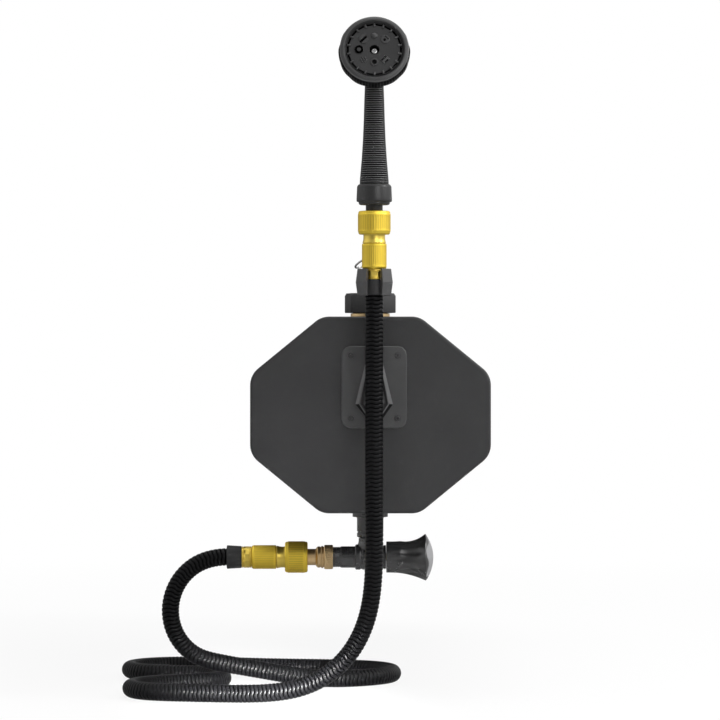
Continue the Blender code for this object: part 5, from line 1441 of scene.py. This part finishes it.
@dataclass
class Handset:
    """The spray handset: plug, base, ribbed handle and the head with its dial.

    Handle_taper is a profile of (height, radius) up the handle. The outlets stand on a ring of
    radius outlets on the face.
    """

    bore: float = 31.7
    recess: float = 2.6
    depth: float = 16.5
    grip_lobes: int = 12
    shell: float = 31.4
    shell_length: float = 29.0
    handle_low: float = 327.6
    handle_high: float = 431.0
    rib_pitch: float = 2.18
    rib_depth: float = 0.8
    outlets: float = 15.1
    slots: int = 18
    handle_taper: Profile = (
        (327.6, 14.4), (331.5, 14.2), (351.2, 12.5), (371.0, 11.2), (390.8, 10.4), (410.6, 9.85),
        (422.4, 9.4), (431, 9.3),
    )

    def build_grip(self) -> None:
        """Builds the plug, the base and the ribbed handle."""
        plug = [
            (4.8, -13), (11.2, -13), (11.2, -9.3), (8.4, -9.0), (8.4, 1), (7.8, 1), (7.8, 20),
            (4.8, 20),
        ]
        base = [
            (8.7, 306.7), (14.0, 306.7), (15.3, 307.6), (15.4, 309.6), (17.55, 310.0),
            (17.55, 313.4), (17.0, 325.2), (15.2, 327.3), (8, 327.3), (8, 324), (11.4, 324),
            (11.4, 309.8), (8.7, 309.8),
        ]
        grid = UPPER_COUPLER.turned(soften(plug, 0.4), 64)
        piece("handset_plug", Finish.HEAD, "handset_nipple", grid, body="handset")
        dress(Finish.RUBBER, "handset_seal")
        grid = HANDLE_LINE.turned(soften(base, 0.9, 4), 72)
        piece("handset_base_turned", Finish.HEAD, "handset_base", grid, body="handset")
        grid = self.handle()
        piece("ribbed_handle", Finish.GRIP, "handset_handle", grid, body="handset", sharp=70)

    def handle(self) -> Grid:
        """The handle, from its spigot up its ribbed outside and down its bore.

        Outside radius = taper(z) - depth (1 - w) g, where w = clip(0.25 + 1.1 cos(2 pi z / pitch),
        0, 1) is the rib's height and g falls to 0 towards both flanks, where |cos a| passes the
        grooves' reach. Its painted light value is 2.1 on a rib, a painted highlight, 0 in a groove,
        painted shade, and 0.55 on the flanks, also painted shade.

        Returns:
            The grid.
        """
        low, high = self.handle_low, self.handle_high
        z = np.linspace(low, high, int((high - low) / self.rib_pitch * 8) + 1)[:, None]
        taper = np.interp(z, *np.transpose(self.handle_taper))
        angle = around(56)
        wave = np.clip(0.25 + 1.1 * np.cos(math.tau * (z - low) / self.rib_pitch), 0, 1)
        reach = 0.86 + 0.1 * np.clip((400 - z) / 60, 0, 1)
        strength = np.clip((reach - np.abs(np.cos(angle))) / 0.12, 0, 1)
        strength = strength * np.clip((z - low - 0.8) / 1.0, 0, 1) * np.clip((424 - z) / 3, 0, 1)
        side = taper - self.rib_depth * (1 - wave) * strength
        spigot = np.array([[11.2, 314.3], [11.2, 323.4], [7.8, 323.4], [7.8, low]])
        bore = np.array([[5.5, high], [5.5, 314.3]])
        r = np.concatenate([spigot[:, :1] + 0 * angle, side, bore[:, :1] + 0 * angle])
        heights = np.concatenate([spigot[:, 1:], z, bore[:, 1:]])
        # Painted light: a painted highlight on the ribs, painted shade in the grooves and on the
        # flanks.
        lit = np.pad(0.55 + (2.1 * wave - 0.55) * strength, ((4, 2), (0, 0)), constant_values=1.0)
        return Grid(HANDLE_LINE.polar(r, angle, heights), open=lit)

    def bowl(self) -> Grid:
        """The bowl behind the dial: a quarter ellipse turned about the face's axis.

        Returns:
            The grid.
        """
        turn = np.linspace(0, math.pi / 2, 15)[2:-1]
        start = -self.depth - 0.3
        end = start - self.shell_length
        back = start - self.shell_length * np.sin(turn)
        side = np.stack([self.shell * np.cos(turn), back], axis=1)
        front = [[24.0, start], [self.shell - 0.9, start], [self.shell, start - 0.9]]
        outline = np.vstack([front, side, [[3.0, end + 0.05], [0.8, end]]])
        return FACE_LINE.rings(around(96), outline, loop=False)

    def dial(self) -> Grid:
        """The dial: its sloping rim, the band behind it and the lobed grip.

        Each row has a radius, a height, a share of the lobes and its painted light value: painted
        shade on the inner slope, the band behind the rim and the grip, and a painted highlight on the
        rim. The grip's radius = r - 1.1 (1 - w) share, w = (1 + cos(lobes a)) / 2 raised to 0.6, so
        that the hollows are narrower than the lobes. The grip's painted shade is finely striped: it
        swings by 0.12.

        Returns:
            The grid.
        """
        angle = around(432)
        lobed = ((1 + np.cos(self.grip_lobes * angle)) / 2) ** 0.6
        rows = [
            (self.bore, -self.depth, 0, 1), (self.bore, -4.6, 0, 1),
            (27.9, -4.1, 0, 0.7), (27.9, -3.1, 0, 0.7), (28.1, -2.7, 0, 0.7), (29.6, -0.6, 0, 0.7),
            (30.0, -0.1, 0, 1.15), (30.5, 0.0, 0, 1.15), (31.2, -0.1, 0, 1.15),
            (33.3, -0.75, 0, 1.15), (33.85, -1.15, 0, 2), (34.1, -1.9, 0, 2),
            (34.1, -4.0, 0, 0.4), (33.7, -4.5, 0, 0.4), (33.6, -5.1, 0, 0.4),
            (34.4, -5.7, 0.6, 0.14), (35.2, -6.6, 1, 0.14), (35.4, -8.0, 1, 0.14),
            (35.4, -10.5, 0.9, 0.14), (35.3, -13.0, 0.6, 0.14), (35.2, -15.3, 0.4, 0.14),
            (34.8, -self.depth, 0.35, 0.14),
        ]
        radius, height, share, painted_lit = (column[:, None] for column in np.transpose(rows))
        # Painted light: finely striped painted shade on the grip.
        shade = painted_lit + 0.12 * (share > 0) * np.cos(72 * angle)
        return Grid(FACE_LINE.polar(radius - 1.1 * (1 - lobed) * share, angle, height), open=shade)

    def relief(self, x: Array, y: Array) -> Array:
        """The height of the nozzle plate's pattern over its floor.

        Ribs and slots stand round the edge, and seven outlets, one for each spray, stand every 45
        degrees from 45 to 315. Each disc is (degrees round the face, distance out, radius, height) and
        each bar is (degrees, distance out, turn, half its length, half its width, height); a height
        below 0 is a hole. The outlet at 90 degrees is a dome and the one at 225 is a rose of seven
        small discs.

        Args:
            x: places to the right on the face.
            y: places up the face.

        Returns:
            The heights.
        """

        def spot(degrees: float, reach: float) -> tuple[float, float]:
            """A place on the face."""
            return reach * math.cos(math.radians(degrees)), reach * math.sin(math.radians(degrees))

        def disc(u: float, v: float, radius: float, height: float, edge: float = 0.35) -> Array:
            """A round boss or hole: height clip((radius - distance) / edge + 0.5, 0, 1)."""
            return height * np.clip((radius - np.hypot(x - u, y - v)) / edge + 0.5, 0, 1)

        def bar(u: float, v: float, turn: float, half: float, thick: float, height: float) -> Array:
            """A straight rib or slot, from how far a point is inside it after its turn.

            Args:
                u: its middle's place to the right.
                v: its middle's place up.
                turn: its direction in degrees.
                half: half its length.
                thick: half its width.
                height: its height.

            Returns:
                height clip(distance inside / edge + 0.5, 0, 1) at each point.
            """
            c, s = spot(turn, 1.0)
            a, b = (x - u) * c + (y - v) * s, (y - v) * c - (x - u) * s
            inside = np.minimum(half - np.abs(a), thick - np.abs(b))
            return height * np.clip(inside / 0.35 + 0.5, 0, 1)

        ring, slant = self.outlets, math.sqrt(2)
        discs = [
            (45, ring, 4.3, 0.8), (45, 14.2, 1.1, -3.5), (135, ring, 4.5, 0.8),
            (180, ring, 4.6, 0.9), (180, ring, 4.1, -3.6), (180, ring, 2.2, 3.4),
            (270, 13.2, 3.9, 1.0), (270, 13.2, 2.3, -5.0),
        ]
        bars = [
            (45, 17.2, 135, 2.2, 0.5, -0.9), (135, ring, 45, 4.3, 0.95, -4.5),
            (315, ring, 45, 3.8, 3.1, 0.8), (315, ring - 1.3 * slant, 45, 3.0, 0.6, -3.0),
            (315, ring + 1.4 * slant, 45, 2.2, 0.5, -2.6),
        ]
        for degrees in np.arange(self.slots) * 360 / self.slots - 90:
            bars.append((degrees, 25.6, degrees, 2.0, 0.95, 1.1))
            bars.append((degrees + 10, 26.1, degrees + 100, 3.2, 0.8, -3.0))
        u, v = spot(90, 14.3)
        total = 1.7 * np.sqrt(np.clip(1 - (np.hypot(x - u, y - v) / 3.1) ** 2, 0, 1))
        total += sum(disc(*spot(degrees, out), *size) for degrees, out, *size in discs)
        total += sum(bar(*spot(degrees, out), *size) for degrees, out, *size in bars)
        u, v = spot(225, ring)
        rose = [(0.0, 0.0), *(spot(60 * k, 2.5) for k in range(6))]
        return total + sum(disc(u + across, v + up, 0.75, 0.8, 0.5) for across, up in rose)

    def nozzle(self) -> Grid:
        """The nozzle plate: the centre hole, the patterned face, the border and the back.

        Its painted light value falls to 0, painted shade, at 1.5 mm below the face, less so in the
        lower slots, and rises on the ribs, a painted highlight, most of all to the right, where they
        catch the light. The centre hole is fully painted shade.

        Returns:
            The grid.
        """
        angle = around(360)
        hole = [[2.0, -self.depth], [2.0, -8.9], [4.8, -8.8], [4.9, -3.2], [5.2, -2.9]]
        face = np.stack([np.linspace(5.8, 27.5, 96), np.full(96, -self.recess - 0.3)], axis=1)
        border = [[27.6, -3.2], [27.65, -4.8], [31.3, -5.3], [31.4, -self.depth]]
        table = np.vstack([hole, face, border])
        radius, height = table[:, :1], table[:, 1:]
        on_face = (radius > 5.5) & (radius < 27.55)
        relief = np.where(on_face, self.relief(radius * np.cos(angle), radius * np.sin(angle)), 0.0)
        # Painted shade in the slots, less in the lower ones, and a painted highlight on the right-hand
        # ribs.
        dim = 0.25 + 0.75 * np.clip(np.sin(angle) * 2 + 1.3, 0, 1)
        lit = 0.6 + 2.4 * np.clip(np.cos(angle + 0.2), 0, 1) ** 3
        shade = 1 + dim * np.clip(relief / 1.5, -1, 0) + lit * np.clip(relief - 0.5, 0, 0.5)
        shade[:3] = 0.0
        return Grid(FACE_LINE.polar(radius, angle, height + relief), open=shade)

    def screw(self) -> Grid:
        """The centre screw: a cross recess in a domed head, and the shank.

        At angle a, the recess reaches 0.5 + 1.2 |cos(2a + 0.6)|^6.

        Returns:
            The grid.
        """
        angle = around(120)
        cross = 0.5 + 1.2 * np.abs(np.cos(2 * angle + 0.6)) ** 6
        rows = [
            (cross * 0.6, -8.0), (cross, -6.9), (np.maximum(cross + 0.15, 1.1), -6.6), (2.2, -6.65),
            (2.8, -6.85), (3.2, -7.2), (3.3, -7.6), (3.3, -8.5), (1.6, -8.5), (1.6, -22.6),
        ]
        return FACE_LINE.rings(angle, rows, loop=False)

    def build(self) -> None:
        """Builds the handset."""
        self.build_grip()
        piece("head_bowl", Finish.HEAD, "head_shell", self.bowl(), body="handset")
        piece("lobed_dial", Finish.GRIP, "spray_dial", self.dial(), body="dial")
        piece("nozzle_face", Finish.HEAD, "nozzle_plate", self.nozzle(), body="dial")
        piece("centre_screw", Finish.STEEL, "dial_screw", self.screw(), body="handset")


# The studio


@dataclass
class Studio:
    """Camera, lamps, background and floor, in metres.

    The glows are how bright the surroundings are over dim from the right, the left and above. The
    floor's share of white glow grows from floor_glow at glow_near from the middle to 1 at glow_far.
    """

    lens: float = 190.0
    camera: Place = (-0.0105, -4.3, 0.1535)
    middle: Place = (0.0, -0.2, 0.15)
    coil: Place = (-0.1, -0.45, -0.27)
    dim: float = 0.14
    right_glow: float = 0.6
    left_glow: float = 0.6
    top_glow: float = 0.5
    floor_half: float = 7.0
    floor_glow: float = 0.84
    glow_near: float = 0.4
    glow_far: float = 2.2

    def set_camera(self) -> None:
        """Sets the camera level, looking along +Y."""
        data = bpy.data.cameras.new("camera")
        data.lens = self.lens
        data.sensor_width = 36.0
        data.clip_end = 100.0
        camera = new_object("camera", data)
        camera.location = self.camera
        camera.rotation_euler = (math.pi / 2, 0, 0)
        bpy.context.scene.camera = camera

    def lamp(
        self, name: str, place: Place, size: float, power: float, aim: Place
    ) -> bpy.types.Light:
        """Adds a square soft lamp.

        Args:
            name: its name.
            place: where it stands.
            size: its side.
            power: its power in watts.
            aim: the point that it faces.

        Returns:
            The lamp's data.
        """
        data = bpy.data.lights.new(name, "AREA")
        data.shape = "SQUARE"
        data.size = size
        data.energy = power
        lamp = new_object(name, data)
        lamp.location = place
        lamp.rotation_euler = (Vector(aim) - Vector(place)).to_track_quat("-Z", "Y").to_euler()
        return data

    def set_world(self) -> None:
        """Makes the surroundings white to the eye, while they light from the right and above.

        Reflections also find a white wall far behind the object, towards +Y, and a glow on the
        left.
        """
        world = bpy.data.worlds.new("surroundings")
        bpy.context.scene.world = world
        world.use_nodes = True
        world.node_tree.nodes.clear()
        shader = Shader(world.node_tree)
        path = shader.add("LightPath").outputs
        generated = shader.add("TexCoord").outputs["Generated"]
        toward = shader.add("SeparateXYZ", Vector=generated).outputs
        mirrored = path["Is Glossy Ray"]
        behind = shader.maths("MULTIPLY", mirrored, shader.spread(toward["Y"], 0.0, 1.0, 0.7, 0.95))
        behind = shader.maths("MULTIPLY", behind, shader.spread(toward["X"], 0.1, 1.0, -0.3, 0.1))
        right = shader.spread(toward["X"], 0.0, self.right_glow, -0.1, 0.9)
        left = shader.spread(toward["X"], self.left_glow, 0.0, -1.0, -0.5)
        left = shader.maths("MULTIPLY", left, mirrored)
        above = shader.spread(toward["Z"], self.dim, self.dim + self.top_glow, 0.0, 0.9)
        around_it = shader.maths("ADD", shader.maths("ADD", right, left), above)
        room = shader.maths("MAXIMUM", behind, around_it, clamp=True)
        seen = shader.maths("MAXIMUM", path["Is Camera Ray"], path["Is Transmission Ray"])
        light = shader.add("Background", Color=WHITE, Strength=shader.maths("MAXIMUM", seen, room))
        shader.add("OutputWorld", Surface=light.outputs[0])

    def set_floor(self, height: float) -> None:
        """Lays a pale floor that stays white to the eye and takes a soft shadow.

        Args:
            height: its height.
        """
        half = self.floor_half
        mesh = bpy.data.meshes.new("floor")
        corners = [(x * half, y * half, height) for x, y in ((-1, -1), (1, -1), (1, 1), (-1, 1))]
        mesh.from_pydata(corners, [], [(0, 1, 2, 3)])
        made = bpy.data.materials.new("pale_floor")
        made.use_nodes = True
        shader = Shader(made.node_tree)
        surface = made.node_tree.nodes["Principled BSDF"]
        shader.feed(surface.inputs["Base Color"], (0.9, 0.9, 0.9, 1))
        shader.feed(surface.inputs["Roughness"], 0.9)
        shader.feed(surface.inputs["Specular IOR Level"], 0.0)
        path = shader.add("LightPath").outputs
        mirrored = path["Is Glossy Ray"]
        seen = shader.maths("MAXIMUM", path["Is Camera Ray"], mirrored)
        away = shader.add("VectorMath", {"operation": "LENGTH"}, {0: shader.place()})
        away = away.outputs["Value"]
        share = shader.spread(away, self.floor_glow, 1.0, self.glow_near, self.glow_far)
        strength = shader.spread(mirrored, 1.0, 0.3, 0.0, 1.0)
        glow = shader.add("Emission", Color=WHITE, Strength=strength).outputs[0]
        share = shader.maths("MULTIPLY", seen, share)
        mixed = shader.add("MixShader", numbered={0: share, 1: surface.outputs[0], 2: glow})
        shader.feed(made.node_tree.nodes["Material Output"].inputs["Surface"], mixed.outputs[0])
        mesh.materials.append(made)
        new_object("floor", mesh)

    def build(self, floor: float) -> None:
        """Sets up everything.

        Args:
            floor: the floor's height.
        """
        self.set_camera()
        self.set_world()
        self.set_floor(floor)
        self.lamp("key", (2.7, -1.0, 1.9), 1.2, 48.0, self.middle)
        self.lamp("front_fill", (1.5, -3.7, 1.4), 1.4, 24.0, self.middle)
        self.lamp("top", (0.1, -0.5, 2.7), 1.4, 16.0, self.middle)
        self.lamp("coil", (0.1, -2.6, 0.1), 0.08, 2.6, self.coil).spread = math.radians(8)
        bpy.context.scene.view_settings.view_transform = "Standard"


def main() -> None:
    """Builds the tank piece by piece."""
    logging.basicConfig(level=logging.INFO, format="%(name)s: %(message)s")
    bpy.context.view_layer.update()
    Coupler("lower", LOWER_COUPLER).build()
    Coupler("upper", UPPER_COUPLER).build()
    lowest = Hose().build()
    for assembly in (Tank, Filler, Outlet, Tap, Adapter, Bracket, Handset):
        assembly().build()
    Studio().build((lowest - 0.1) * MM)


if __name__ == "__main__":
    main()
